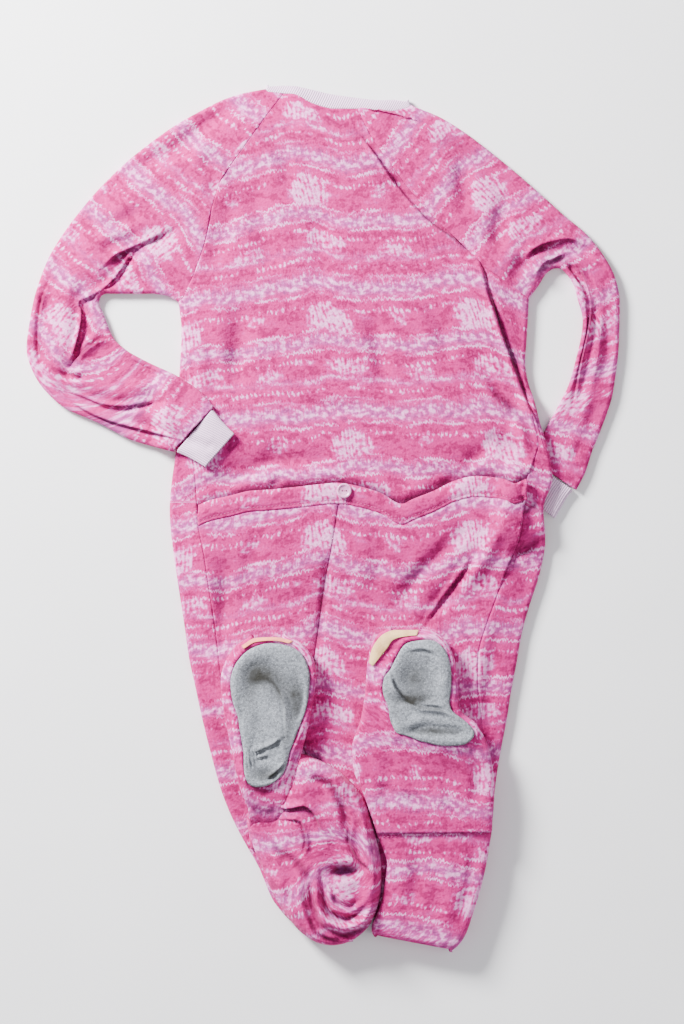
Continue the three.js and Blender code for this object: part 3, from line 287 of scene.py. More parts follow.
SLEEVE_RIGHT_CREASES = (
    Crease(6, 3.2, ((269, 342), (278, 354), (285, 360), (300, 367), (316, 371), (333, 373),
            (350, 366)), lap=True),
    Crease(5, 3.0, ((277, 301), (285, 323), (297, 340), (313, 348), (331, 356)), lap=True),
    Crease(6, 3.4, ((331, 363), (338, 350), (347, 331), (356, 309), (360, 290), (358, 266),
            (354, 244), (348, 217), (343, 190), (339, 161), (335, 131), (333, 107)), lap=True),
    Crease(3.5, -3.4, ((328, 344), (340, 328), (352, 309))),
    Crease(3.5, -3.6, ((362, 282), (363, 263))),
    Crease(10, -2.2, ((256, 315), (263, 336), (275, 352))),
    Crease(9, -1.8, ((186, 475), (189, 421))),
    Crease(9, -1.8, ((243, 421), (236, 390), (235, 360))),
    Crease(8, -1.8, ((379, 293), (382, 225), (366, 158))),
    Crease(7, -1.4, ((369, 155), (352, 115))),
    Crease(7, -1.6, ((347, 104), (331, 74))),
    Crease(11, -1.6, ((144, 509), (198, 493), (246, 455))),
)
SOLE_CREASES = (
    Crease(5, 1.8, ((-88, -206), (-72, -214), (-60, -230), (-53, -252), (-50, -290)), lap=True),
    Crease(4, 2.6, ((-98, -318), (-84, -311), (-68, -304), (-54, -294)), lap=True),
    Crease(4, 1.6, ((-104, -330), (-88, -322), (-70, -318)), lap=True),
    Crease(4, 2.8, ((-74, -350), (-64, -341), (-52, -330)), lap=True),
    Crease(9, -1.8, ((-36, -220), (-31, -247), (-35, -277))),
    Crease(7, -1.0, ((-112, -234), (-108, -274))),
    Crease(4.5, 3.2, ((172, -262), (153, -256), (130, -254), (112, -243), (96, -226), (90, -208)), lap=True),
    Crease(6, -2.0, ((107, -289), (136, -281), (171, -285), (193, -293))),
    Crease(5, 1.6, ((116, -178), (136, -176), (150, -184)), lap=True),
    Crease(7, 1.2, ((150, -180), (159, -204), (162, -234))),
)
# Painted shade behind the heels: place, half width, half depth.
HEELS = ((-86, -378, 26, 34), (178, -322, 44, 20))
HEEL_SHADE_STRENGTH = 0.45
# Grime and painted shade in the hollows of the soles, where the surface also sinks: place, half width, half
# depth, strength.
SOLE_SHADES = rows_of(
    "-82 -208 20 16 0.85; -58 -228 14 20 0.5; -36 -246 12 30 0.7; -98 -226 12 30 0.35;"
    "-76 -344 20 10 0.6; -47 -300 8 22 0.35; -90 -285 18 30 0.15; 124 -216 22 22 0.6;"
    "118 -243 26 8 0.6; 150 -286 34 6 0.6; 92 -268 8 14 0.4"
)
FOOT_CREASES = (
    Crease(6, -1.6, ((62, -350), (96, -372), (140, -378))),
    Crease(8, -1.4, ((196, -318), (206, -352), (200, -392))),
    Crease(7, 1.4, ((120, -330), (150, -352), (160, -398))),
    Crease(9, -1.2, ((86, -316), (88, -350), (80, -392))),
    Crease(5, -1.8, ((-112, -352), (-84, -366), (-62, -360))),
    Crease(5, -1.6, ((-100, -382), (-80, -396), (-58, -390))),
)
SHIN_CREASES = (
    Crease(9, -1.4, ((120, -436), (126, -480), (112, -540))),
    Crease(10, 1.2, ((160, -440), (170, -500), (160, -556))),
    Crease(7, -1.6, ((200, -440), (196, -490), (184, -530))),
    Crease(6, -1.4, ((92, -520), (110, -548), (150, -562))),
)
ROLL_CREASES = (
    Crease(9, 3.4, ((-36, -323), (3, -339), (39, -369), (58, -423), (66, -483), (53, -537), (20, -558))),
    Crease(5, -3.6, ((-27, -346), (9, -358), (28, -390), (32, -433))),
    Crease(6, -2.2, ((-1, -335), (30, -362), (45, -402), (50, -450))),
    Crease(5, 3.2, ((-82, -382), (-51, -390), (-26, -386), (-11, -398), (4, -433)), lap=True),
    Crease(4.5, 2.6, ((-53, -404), (-31, -406), (-22, -431), (-27, -458)), lap=True),
    Crease(5, -3.2, ((-74, -431), (-55, -451), (-39, -460), (-23, -477), (-19, -490))),
    Crease(5, 3.0, ((38, -402), (35, -433), (46, -456), (66, -474)), lap=True),
    Crease(4.5, -4.0, ((-1, -474), (-1, -504), (8, -528), (31, -537), (53, -524), (69, -501))),
    Crease(5, 2.4, ((-8, -471), (-9, -506), (1, -536), (28, -547), (58, -536), (77, -510))),
    Crease(4.5, -4.2, ((-16, -471), (-16, -512), (-4, -547), (26, -559), (55, -549), (74, -525))),
    Crease(4, -3.4, ((-27, -479), (-23, -517), (-9, -555), (15, -566), (39, -560))),
    Crease(4, -2.4, ((14, -498), (18, -514), (34, -520), (50, -509))),
    Crease(6, -1.8, ((-50, -490), (-39, -524), (-20, -552))),
    Crease(6, 1.6, ((-63, -477), (-53, -510), (-34, -541))),
)
ROLL_OUTLINE = rows_of(
    "-34 -317; -7 -325; 26 -344; 53 -375; 69 -420; 78 -463; 77 -508; 63 -547; 40 -568; 15 -575;"
    "-9 -571; -32 -556; -51 -533; -69 -504; -82 -471; -96 -439; -103 -406; -93 -382; -74 -371;"
    "-53 -355; -45 -335"
)


def smooth(value: np.ndarray) -> np.ndarray:
    """Eases a share from 0 to 1, with level ends."""
    kept = np.clip(value, 0.0, 1.0)
    return kept**2 * (3 - 2 * kept)


def mix(a: np.ndarray, b: np.ndarray, share: np.ndarray) -> np.ndarray:
    """Goes from one value to another by a share."""
    return a + (b - a) * share


def smooth_line(points: Line, parts: int) -> Line:
    """Draws a soft curve through points.

    Args:
        points: Rows of numbers, plan places first.
        parts: New points for each stretch.

    Returns:
        The curve's rows, the given ones among them.
    """
    rows = np.asarray(points, float)
    padded = np.vstack([2 * rows[0] - rows[1], rows, 2 * rows[-1] - rows[-2]])
    out = [rows[:1]]
    share = (np.arange(1, parts + 1) / parts)[:, None]
    for i in range(len(rows) - 1):
        a, b, c, d = padded[i : i + 4]
        bend = 0.5 * (
            2 * b + (c - a) * share + (2 * a - 5 * b + 4 * c - d) * share**2
            + (3 * b - a - 3 * c + d) * share**3
        )
        out.append(mix(b + (c - b) * share, bend, 0.75))
    return np.vstack(out)


def stretch_distance(
    x: np.ndarray, y: np.ndarray, a: Line, b: Line
) -> tuple[np.ndarray, np.ndarray, np.ndarray]:
    """Measures from plan points to one straight stretch.

    Args:
        x: Plan x of the points.
        y: Plan y of the points.
        a: One end.
        b: Other end.

    Returns:
        The distance, the share along the stretch and the side, positive on the left.
    """
    dx, dy = b[0] - a[0], b[1] - a[1]
    share = np.clip(((x - a[0]) * dx + (y - a[1]) * dy) / (dx * dx + dy * dy), 0, 1)
    ox, oy = x - a[0] - dx * share, y - a[1] - dy * share
    return np.hypot(ox, oy), share, dx * oy - dy * ox


def line_distance(x: np.ndarray, y: np.ndarray, line: Line) -> np.ndarray:
    """Distance from plan points to a line of points.

    Args:
        x: Plan x of the points.
        y: Plan y of the points.
        line: The line's points.

    Returns:
        Distance in millimetres.
    """
    least = np.full(np.shape(x), np.inf)
    for a, b in zip(line[:-1], line[1:]):
        least = np.minimum(least, stretch_distance(x, y, a, b)[0])
    return least


def crease_field(
    x: np.ndarray, y: np.ndarray, creases: tuple[Crease, ...]
) -> tuple[np.ndarray, np.ndarray]:
    """Adds up the given creases at plan points.

    Args:
        x: Plan x of the points.
        y: Plan y of the points.
        creases: The creases.

    Returns:
        The rise or fall that they give, in millimetres, and how deep in shade the points lie, 0 to 1.
    """
    total, shade = np.zeros(np.shape(x)), np.zeros(np.shape(x))
    for crease in creases:
        width, line = crease.width, smooth_line(np.array(crease.points), 3)
        low, high = line.min(0) - 4 * width, line.max(0) + 4 * width
        near = (x > low[0]) & (x < high[0]) & (y > low[1]) & (y < high[1])
        if not near.any():
            continue
        px, py = x[near], y[near]
        best, along, side = np.full(px.shape, np.inf), np.zeros(px.shape), np.zeros(px.shape)
        for i in range(len(line) - 1):
            distance, share, left = stretch_distance(px, py, line[i], line[i + 1])
            closer = distance < best
            best = np.where(closer, distance, best)
            along = np.where(closer, (i + share) / (len(line) - 1), along)
            side = np.where(closer, np.sign(left), side)
        fade = np.maximum(smooth(along / 0.25) * smooth((1 - along) / 0.25), 0.2)
        fade = fade * (0.82 + 0.18 * np.sin(9 * along + width + crease.points[0][0]))
        bump = np.exp(-((best / width) ** 2))
        deep = min(1.0, abs(crease.height) / 3.2)
        if crease.lap:
            fall = smooth(0.5 + side * best / 3.0)
            hidden = np.exp(-((best / (0.8 * width)) ** 2))
            bump = mix(-0.9 * hidden, bump, fall)
            dark = np.maximum(np.exp(-((best / 2.2) ** 2)), 0.55 * hidden * (1 - fall))
        else:
            ridge = np.exp(-(((best - 1.9 * width) / (0.9 * width)) ** 2))
            dark = bump * (0.8 if width < 6 else 0.5) * (crease.height < 0)
            bump = bump - 0.22 * ridge
        total[near] += (1.9 if width < 8 else 2.4) * crease.height * fade * bump
        shade[near] = np.maximum(shade[near], deep * fade * dark)
    return total, shade


def crease_height(x: np.ndarray, y: np.ndarray, creases: tuple[Crease, ...]) -> np.ndarray:
    """Rise or fall that creases give at plan points."""
    return crease_field(x, y, creases)[0]


def ripple(x: np.ndarray, y: np.ndarray) -> np.ndarray:
    """Slight unevenness of cloth laid down by hand."""
    return (
        0.30 * np.sin(x / 17 + 1.3 * np.sin(y / 41))
        + 0.26 * np.sin(y / 21 + 1.1 * np.sin(x / 33) + 2)
        + 0.20 * np.sin((x + y) / 11 + 1.7 * np.sin((x - y) / 29))
    )


def fold_height(x: np.ndarray, y: np.ndarray) -> np.ndarray:
    """Sum of the soft folds at plan points.

    Args:
        x: Plan x of the points.
        y: Plan y of the points.

    Returns:
        The rise or fall in millimetres.
    """
    total = np.zeros(np.shape(x))
    for x1, y1, x2, y2, width, height in FOLDS:
        distance = stretch_distance(x, y, (x1, y1), (x2, y2))[0]
        total += np.where(distance < 3 * width, height * np.exp(-((distance / width) ** 2)), 0)
    return 1.3 * np.clip(total, -4.6, 4.6)


LEFT_BODY_EDGE = np.vstack([LEFT_EDGE, LEGS[:, 0:2], [LEFT_LEG_END[0]]])
RIGHT_BODY_EDGE = np.vstack([RIGHT_EDGE, LEGS[:, 8:10]])
INSEAM = np.vstack([LEGS[CROTCH_ROW:, 4:6], [LEFT_LEG_END[2]]])
BODY_LINES = (
    LEFT_BODY_EDGE, RIGHT_BODY_EDGE, SLEEVE_LEFT[:8, 0:2], SLEEVE_LEFT[:8, 2:4],
    SLEEVE_RIGHT[:9, 0:2], SLEEVE_RIGHT[:9, 2:4],
)


def puff(x: np.ndarray, y: np.ndarray, lines: tuple[Line, ...]) -> np.ndarray:
    """Height of a pair of layers over their own edge lines.

    Args:
        x: Plan x of the points.
        y: Plan y of the points.
        lines: The edges of the pair.

    Returns:
        Height in millimetres.
    """
    distance = np.min([line_distance(x, y, line) for line in lines], axis=0)
    rise = LOFT * smooth((distance - EDGE) / 45)
    return 2 * EDGE + rise + (fold_height(x, y) + ripple(x, y)) * smooth((distance - EDGE) / 14)


def lift(x: np.ndarray, y: np.ndarray) -> np.ndarray:
    """Lift of the body's right edge over the tucked cuff."""
    return TUCK * (1 - smooth((line_distance(x, y, TUCK_SPINE) - TUCK_FULL) / TUCK_FADE))


def body_top(x: np.ndarray, y: np.ndarray) -> np.ndarray:
    """Top of the bodice and of the front where it wraps round.

    Args:
        x: Plan x of the points.
        y: Plan y of the points.

    Returns:
        Height in millimetres.
    """
    valley = np.where(y < -290, smooth(line_distance(x, y, INSEAM) / 24), 1)
    creases = crease_height(x, y, BODY_CREASES) * np.where(y > 0, 1, 0)
    low = FLEECE + SEAM_GAP + FLEECE + 0.6
    return lift(x, y) + mix(low, puff(x, y, BODY_LINES), valley) + creases


def flap_line(x: np.ndarray) -> np.ndarray:
    """Height in plan of the drop seat's top edge."""
    soft = smooth_line(FLAP_TOP, 6)
    return np.interp(x, soft[:, 0], soft[:, 1])


def seat_top(x: np.ndarray, y: np.ndarray) -> np.ndarray:
    """Top of the drop seat and the leg backs.

    Args:
        x: Plan x of the points.
        y: Plan y of the points.

    Returns:
        Height in millimetres.
    """
    below = flap_line(x) - y
    step = FLAP_STEP * (1 - smooth((below - FLAP_LAP) / 60))
    return body_top(x, y) + step + crease_height(x, y, SEAT_CREASES)


def left_support(x: np.ndarray, y: np.ndarray) -> np.ndarray:
    """Underside of the left sleeve where it climbs over the body's edge.

    Args:
        x: Plan x of the points.
        y: Plan y of the points.

    Returns:
        Height in millimetres, 0 on the surface.
    """
    edge_x = mix(-195, -200, np.clip((250 - y) / 170, 0, 1))
    over = smooth((x - edge_x + 36) / 28) * smooth((262 - y) / 40)
    return over * (body_top(x, y) + LAP_GAP)


def flat_support(x: np.ndarray, y: np.ndarray) -> np.ndarray:
    """Underside of cloth that lies on the surface."""
    return np.zeros(np.shape(x))


def rest_height(x: np.ndarray, y: np.ndarray) -> np.ndarray:
    """Highest point of the seat and legs round plan points, where a folded stretch rests.

    Args:
        x: Plan x of the points.
        y: Plan y of the points.

    Returns:
        Height in millimetres.
    """
    most = seat_top(x, y)
    for k in range(8):
        angle = math.pi * k / 4
        most = np.maximum(most, seat_top(x + REST_REACH * math.cos(angle), y + REST_REACH * math.sin(angle)))
    return most + LAP_GAP


def outwards(line: Line, inner: Line) -> Line:
    """Plan normals along a line, pointing away from the matching points of another.

    Args:
        line: Plan points.
        inner: As many points on the other side of the piece.

    Returns:
        One normal of length 1 for each point.
    """
    padded = np.vstack([line[:1], line, line[-1:]])
    way = padded[2:] - padded[:-2]
    normal = np.stack([way[:, 1], -way[:, 0]], 1) / np.hypot(way[:, 0], way[:, 1])[:, None]
    side = np.sum(normal * (line - inner), axis=1)
    return np.where(side[:, None] < 0, -normal, normal)


def lengths(places: np.ndarray, axis: int) -> np.ndarray:
    """Running length along one axis of a grid of places."""
    steps = np.linalg.norm(np.diff(places, axis=axis), axis=-1)
    return np.concatenate([np.zeros_like(np.take(steps, [0], axis)), np.cumsum(steps, axis=axis)], axis)


class Side(Enum):
    """Which side of the garment a piece is on, as it lies."""

    LEFT = "left"
    RIGHT = "right"


class Graph:
    """Builds one material's nodes."""

    def __init__(self, name: str) -> None:
        """Makes an empty material with its output node."""
        self.material = bpy.data.materials.new(name)
        self.material.use_nodes = True
        self.tree = self.material.node_tree
        self.tree.nodes.clear()
        self.end = self.add("ShaderNodeOutputMaterial")

    def add(self, kind: str, inputs: dict | None = None, **settings: object) -> bpy.types.Node:
        """Adds a node with its settings and links.

        Args:
            kind: Node type.
            inputs: Values or sockets for its inputs, by name or number.
            settings: Properties of the node.

        Returns:
            The node.
        """
        made = self.tree.nodes.new(kind)
        for name, value in settings.items():
            setattr(made, name, value)
        for name, value in (inputs or {}).items():
            if isinstance(value, bpy.types.NodeSocket):
                self.tree.links.new(value, made.inputs[name])
            else:
                made.inputs[name].default_value = value
        return made

    def place(self) -> bpy.types.NodeSocket:
        """Place on the object, in metres."""
        return self.add("ShaderNodeTexCoord").outputs["Object"]

    def calc(self, operation: str, *values: object) -> bpy.types.NodeSocket:
        """Result of one step of arithmetic."""
        return self.add("ShaderNodeMath", dict(enumerate(values)), operation=operation).outputs[0]

    def remap(self, *values: object) -> bpy.types.NodeSocket:
        """A value moved from one range to another: value, old low and high, new low and high."""
        return self.add("ShaderNodeMapRange", dict(enumerate(values))).outputs[0]

    def noise(self, place: bpy.types.NodeSocket, scale: float, detail: float) -> bpy.types.NodeSocket:
        """Soft noise at a place, with grains a metre over the scale wide."""
        return self.add("ShaderNodeTexNoise", {"Vector": place, "Scale": scale, "Detail": detail}).outputs[0]

    def mixed(self, share: object, low: object, high: object, blend: str = "MIX") -> bpy.types.NodeSocket:
        """Mix of two colours by a share."""
        inputs = {0: share, 6: low, 7: high}
        return self.add("ShaderNodeMix", inputs, data_type="RGBA", blend_type=blend).outputs[2]

    def finish(self, inputs: dict) -> bpy.types.Material:
        """Adds the surface shader and closes the material.

        Args:
            inputs: Values or sockets for the shader's inputs.

        Returns:
            The finished material.
        """
        shader = self.add("ShaderNodeBsdfPrincipled", inputs)
        self.tree.links.new(shader.outputs[0], self.end.inputs[0])
        return self.material


def linear(code: str) -> tuple[float, float, float, float]:
    """Turns an sRGB hex colour to linear light.

    Args:
        code: Colour as #rrggbb.

    Returns:
        Linear red, green and blue, and 1.
    """
    parts = [int(code[i : i + 2], 16) / 255 for i in (1, 3, 5)]
    return (*[p / 12.92 if p <= 0.04045 else ((p + 0.055) / 1.055) ** 2.4 for p in parts], 1.0)


def set_ramp(node: bpy.types.Node, stops: list[tuple[float, tuple]]) -> None:
    """Fills a colour ramp.

    Args:
        node: The ramp's node.
        stops: Place and colour of each stop.
    """
    ramp = node.color_ramp
    ramp.interpolation = "LINEAR"
    while len(ramp.elements) > 1:
        ramp.elements.remove(ramp.elements[-1])
    ramp.elements[0].position, ramp.elements[0].color = stops[0]
    for place, color in stops[1:]:
        ramp.elements.new(place).color = color


@dataclass(frozen=True)
class FleeceFinish:
    """Plush polyester fleece, dyed in soft bands: matt, with a short clumped nap and a light sheen."""

    deep: str = "#9c0f5c"
    pink: str = "#bd2277"
    middle: str = "#c43c8e"
    light: str = "#d562ac"
    white: str = "#ea98d2"
    grey: str = "#845494"
    shadow: str = "#73386c"
    repeat_u: float = 200.0  # mm from one dome to the next across
    repeat_v: float = 169.0  # mm from one row of domes to the next
    arch: float = 13.0  # rise of every band over a dome
    # Mottled bands, thin lines and beaded rows: place down the repeat, half depth, strength.
    mottles: tuple = ((32, 9, 0.5), (81, 6, 0.26), (122, 11, 0.5))
    lines: tuple = ((19, 1.7, 0.95), (44, 1.6, 1.0), (81, 1.8, 0.8), (106, 1.4, 0.7), (138, 1.8, 1.0))
    beads: tuple = ((57, 2.2, 0.95), (94, 2.2, 0.95), (153, 2.2, 1.0))
    # Domes: place across and down, half width, half depth, strength.
    domes: tuple = (
        (0, 2, 28, 20, 1.0), (12, 66, 28, 11, 0.85), (108, 72, 19, 9, 0.65), (100, -6, 12, 8, 0.55),
    )
    bead_spacing: float = 7.0  # mm
    pleat_spacing: float = 6.2  # mm

    def band_ramp(self, graph: Graph, share: bpy.types.NodeSocket, bands: tuple) -> bpy.types.NodeSocket:
        """Soft bands down one repeat.

        Args:
            graph: The material.
            share: Place down the repeat, 0 to 1.
            bands: Place, half depth and strength of each band, in millimetres.

        Returns:
            Strength of the bands.
        """
        stops: list[tuple[float, tuple]] = [(0.0, (0, 0, 0, 1))]
        for place, half, strength in bands:
            for reach, part in ((-1.6, 0), (-0.4, 1), (0.4, 1), (1.6, 0)):
                level = strength * part
                stops.append(((place + reach * half) / self.repeat_v, (level, level, level, 1)))
        node = graph.add("ShaderNodeValToRGB", {"Fac": share})
        set_ramp(node, stops)
        return node.outputs["Color"]

    def noise(
        self, graph: Graph, cloth: bpy.types.NodeSocket, width: float, depth: float, detail: float
    ) -> bpy.types.Node:
        """Noise whose grains are width by depth millimetres of cloth."""
        size = (1000 / width, 1000 / depth, 1)
        place = graph.add("ShaderNodeMapping", {0: cloth, "Scale": size}).outputs[0]
        return graph.add("ShaderNodeTexNoise", {"Vector": place, "Scale": 1.0, "Detail": detail})

    def dome(
        self, graph: Graph, cell: bpy.types.NodeSocket, row: tuple[float, float, float, float, float]
    ) -> bpy.types.NodeSocket:
        """One dome of the print in every repeat.

        Args:
            graph: The material.
            cell: Place in repeats.
            row: Place across and down, half width, half depth and strength.

        Returns:
            How white the dome is.
        """
        u, v, half_u, half_v, strength = row
        wide, deep = self.repeat_u / half_u, self.repeat_v / half_v
        shift = (0.5 - u / self.repeat_u, 0.5 - v / self.repeat_v, 0)
        place = graph.add("ShaderNodeVectorMath", {0: cell, 1: shift}, operation="ADD").outputs[0]
        place = graph.add("ShaderNodeVectorMath", {0: place}, operation="FRACTION").outputs[0]
        place = graph.add(
            "ShaderNodeVectorMath", {0: place, 1: (wide, deep, 0), 2: (-0.5 * wide, -0.5 * deep, 0)},
            operation="MULTIPLY_ADD",
        ).outputs[0]
        reach = graph.add("ShaderNodeVectorMath", {0: place}, operation="LENGTH").outputs["Value"]
        return graph.add(
            "ShaderNodeMapRange", {0: reach, 1: 1.3, 2: 0.75, 3: 0.0, 4: strength},
            interpolation_type="SMOOTHSTEP",
        ).outputs[0]

    def print_nodes(self, graph: Graph) -> tuple[bpy.types.NodeSocket, bpy.types.NodeSocket]:
        """The tie-dye print.

        Args:
            graph: The material.

        Returns:
            How white the dye left the cloth, and where it is hazy.
        """
        cloth = graph.add("ShaderNodeUVMap", uv_map="print").outputs[0]
        # Dye runs down in threads about 3 mm wide, so every band has a combed edge.
        fine = self.noise(graph, cloth, 2.6, 11.0, 2.0).outputs[0]
        slow = self.noise(graph, cloth, 60.0, 120.0, 1.5).outputs[1]
        cloud = self.noise(graph, cloth, 8.0, 6.5, 4.0).outputs[0]
        patchy = self.noise(graph, cloth, 34.0, 15.0, 2.0).outputs[0]
        off = graph.add(
            "ShaderNodeVectorMath", {0: slow, 1: (0.04, 0.022, 0), 2: (-0.02, -0.011, 0)},
            operation="MULTIPLY_ADD",
        ).outputs[0]
        moved = graph.add("ShaderNodeVectorMath", {0: cloth, 1: off}, operation="ADD").outputs[0]
        across = graph.add("ShaderNodeSeparateXYZ", {0: moved}).outputs[0]
        turn = graph.calc("MULTIPLY", across, 2000 * math.pi / self.repeat_u)
        wave = graph.calc("COSINE", turn)
        peak = graph.calc("MULTIPLY_ADD", wave, 0.5, 0.5)
        peak = graph.calc("POWER", peak, 2.0)
        down = graph.calc("MULTIPLY_ADD", peak, self.arch * MM, -0.0125)
        down = graph.calc("MULTIPLY_ADD", fine, 0.016, down)
        drop = graph.add("ShaderNodeCombineXYZ", {"Y": down}).outputs[0]
        combed = graph.add("ShaderNodeVectorMath", {0: moved, 1: drop}, operation="ADD").outputs[0]
        size = (1000 / self.repeat_u, 1000 / self.repeat_v, 0)
        cell = graph.add("ShaderNodeVectorMath", {0: combed, 1: size}, operation="MULTIPLY").outputs[0]
        share = graph.add("ShaderNodeVectorMath", {0: cell}, operation="FRACTION").outputs[0]
        share = graph.add("ShaderNodeSeparateXYZ", {0: share}).outputs[1]
        mottle = self.band_ramp(graph, share, self.mottles)
        thin = self.band_ramp(graph, share, self.lines)
        row = self.band_ramp(graph, share, self.beads)
        # Beads of white, where stitches held the cloth in the dye.
        bead = graph.calc("MULTIPLY", across, 2000 * math.pi / self.bead_spacing)
        bead = graph.calc("SINE", bead)
        held = graph.remap(wave, 0.9, -0.2, 0.08, 0.5)
        bead = graph.calc("MULTIPLY_ADD", bead, held, 0.55)
        row = graph.calc("MULTIPLY", row, bead)
        fade = graph.remap(patchy, 0.38, 0.6, 0.25, 1.15)
        thin = graph.calc("MULTIPLY", thin, fade)
        row = graph.calc("MULTIPLY", row, fade)
        # Pleats of the tied cloth leave stripes in the domes.
        pleat = graph.calc("MULTIPLY", across, 2000 * math.pi / self.pleat_spacing)
        pleat = graph.calc("SINE", pleat)
        pleat = graph.calc("MULTIPLY_ADD", pleat, 0.22, 0.74)
        shown = [mottle, row]
        for motif in self.domes:
            dome = self.dome(graph, cell, motif)
            shown.append(graph.calc("MULTIPLY", dome, pleat))
        dyed = shown[0]
        for other in shown[1:]:
            dyed = graph.calc("SMOOTH_MAX", dyed, other, 0.1)
        # The dye breaks up most where the cloth was only half covered.
        spots = graph.calc("MULTIPLY_ADD", cloud, 3.0, -1.5)
        combs = graph.calc("MULTIPLY_ADD", fine, 1.0, -0.5)
        spots = graph.calc("ADD", spots, combs)
        area = graph.remap(dyed, 0.0, 0.45, 0.16, 1.0)
        white = graph.calc("MULTIPLY_ADD", spots, area, dyed)
        ground = graph.remap(patchy, 0.42, 0.72, -0.04, 0.3)
        white = graph.calc("ADD", white, ground)
        thin = graph.calc("MULTIPLY_ADD", spots, 0.3, thin)
        white = graph.calc("SMOOTH_MAX", white, thin, 0.1)
        murk = graph.remap(cloud, 0.58, 0.42, 0.0, 1.0)
        haze = graph.calc("MULTIPLY", mottle, murk)
        return white, haze

    def make(self, name: str) -> bpy.types.Material:
        """Makes the printed fleece.

        Args:
            name: Material name.

        Returns:
            The material, which reads the print's own map in metres of cloth.
        """
        graph = Graph(name)
        white, haze = self.print_nodes(graph)
        dye = graph.add("ShaderNodeValToRGB", {"Fac": white})
        set_ramp(dye, [
            (0.0, linear(self.deep)), (0.1, linear(self.pink)), (0.25, linear(self.pink)),
            (0.42, linear(self.middle)), (0.62, linear(self.light)), (0.95, linear(self.white)),
        ])
        murk = graph.remap(haze, 0.05, 0.6, 0.0, 0.55)
        color = graph.mixed(murk, dye.outputs["Color"], linear(self.grey))
        # Painted shade: the crease attribute holds shade laid into creases, seams and hollows, multiplied in
        # with the shadow tint.
        crease = graph.add("ShaderNodeAttribute", attribute_name="crease").outputs["Fac"]
        color = graph.mixed(crease, color, linear(self.shadow), "MULTIPLY")
        # The nap clumps at about 3 mm.
        place = graph.place()
        clump = graph.noise(place, 330.0, 3.0)
        nap = graph.remap(clump, 0.3, 0.7, 0.8, 1.14)
        color = graph.add("ShaderNodeVectorMath", {0: color, 1: nap}, operation="MULTIPLY").outputs[0]
        bump = graph.add("ShaderNodeBump", {"Height": clump, "Strength": 0.6, "Distance": 0.0013}).outputs[0]
        return graph.finish({
            "Base Color": color, "Roughness": 0.95, "IOR": 1.46, "Specular IOR Level": 0.2,
            "Sheen Weight": 0.12, "Sheen Roughness": 0.55, "Sheen Tint": linear("#ffb4dc"),
            "Normal": bump,
        })


@dataclass(frozen=True)
class RibFinish:
    """Cotton rib knit, washed pale: matt, with raised ribs 3 mm apart and painted shade in the grooves
    between them.
    """

    color: str = "#e6c4e2"
    # Colour of the painted shade in the grooves between the ribs.
    groove: str = "#a884ac"
    spacing: float = 0.0030

    def make(self, name: str) -> bpy.types.Material:
        """Makes the rib knit, whose ribs run along the map's second axis."""
        graph = Graph(name)
        cloth = graph.add("ShaderNodeUVMap", uv_map="print").outputs[0]
        across = graph.add("ShaderNodeSeparateXYZ", {0: cloth})
        wave = graph.calc("MULTIPLY", across.outputs[0], 2 * math.pi / self.spacing)
        wave = graph.calc("SINE", wave)
        loop = graph.calc("MULTIPLY", across.outputs[1], 2 * math.pi / 0.0022)
        loop = graph.calc("SINE", loop)
        height = graph.calc("MULTIPLY_ADD", loop, 0.18, wave)
        fuzz = graph.noise(cloth, 90.0, 3.0)
        # Painted shade: the tone darkens towards the groove colour where the ribs are low.
        share = graph.remap(height, -1.1, 0.4, 0.0, 1.0)
        tone = graph.calc("MULTIPLY_ADD", fuzz, 0.5, share)
        color = graph.add("ShaderNodeValToRGB", {"Fac": tone})
        set_ramp(color, [(0.2, linear(self.groove)), (0.85, linear(self.color))])
        bump = graph.add("ShaderNodeBump", {"Height": height, "Strength": 0.5, "Distance": 0.0007}).outputs[0]
        return graph.finish({
            "Base Color": color.outputs["Color"], "Roughness": 0.9, "Sheen Weight": 0.15,
            "Specular IOR Level": 0.3, "Normal": bump,
        })


@dataclass(frozen=True)
class SoleFinish:
    """Grey non-slip cloth: a coarse knit with small bright beads of grip, worn and grimy at the heel, with
    painted shade in its hollows and creases.
    """

    color: str = "#8a8e96"
    bead: str = "#c3c8d1"
    dark: str = "#61646a"
    # Colour of the grime and of the painted shade in the hollows and creases.
    grime_and_shade: str = "#24231f"

    def make(self, name: str) -> bpy.types.Material:
        """Makes the sole cloth."""
        graph = Graph(name)
        place = graph.place()
        # Grip beads about 2 mm apart.
        cells = graph.add("ShaderNodeTexVoronoi", {"Vector": place, "Scale": 480.0}).outputs["Distance"]
        noise = graph.noise(place, 300.0, 3.0)
        cloud = graph.noise(place, 26.0, 3.0)
        dot = graph.remap(cells, 0.42, 0.16, 0.0, 1.0)
        dot = graph.calc("MULTIPLY", dot, noise)
        base = graph.add("ShaderNodeValToRGB", {"Fac": noise})
        set_ramp(base, [(0.3, linear(self.dark)), (0.62, linear(self.color))])
        color = graph.mixed(dot, base.outputs["Color"], linear(self.bead))
        # Grime and painted shade in the hollows and creases, from the crease attribute.
        darkened = graph.add("ShaderNodeAttribute", attribute_name="crease").outputs["Fac"]
        cloud = graph.remap(cloud, 0.3, 0.6, 0.6, 1.0)
        darkened = graph.calc("MULTIPLY", darkened, cloud)
        color = graph.mixed(darkened, color, linear(self.grime_and_shade))
        height = graph.calc("MULTIPLY_ADD", dot, 0.8, noise)
        bump = graph.add("ShaderNodeBump", {"Height": height, "Strength": 0.6, "Distance": 0.0009}).outputs[0]
        return graph.finish({
            "Base Color": color, "Roughness": 0.8, "Specular IOR Level": 0.4, "Normal": bump,
        })


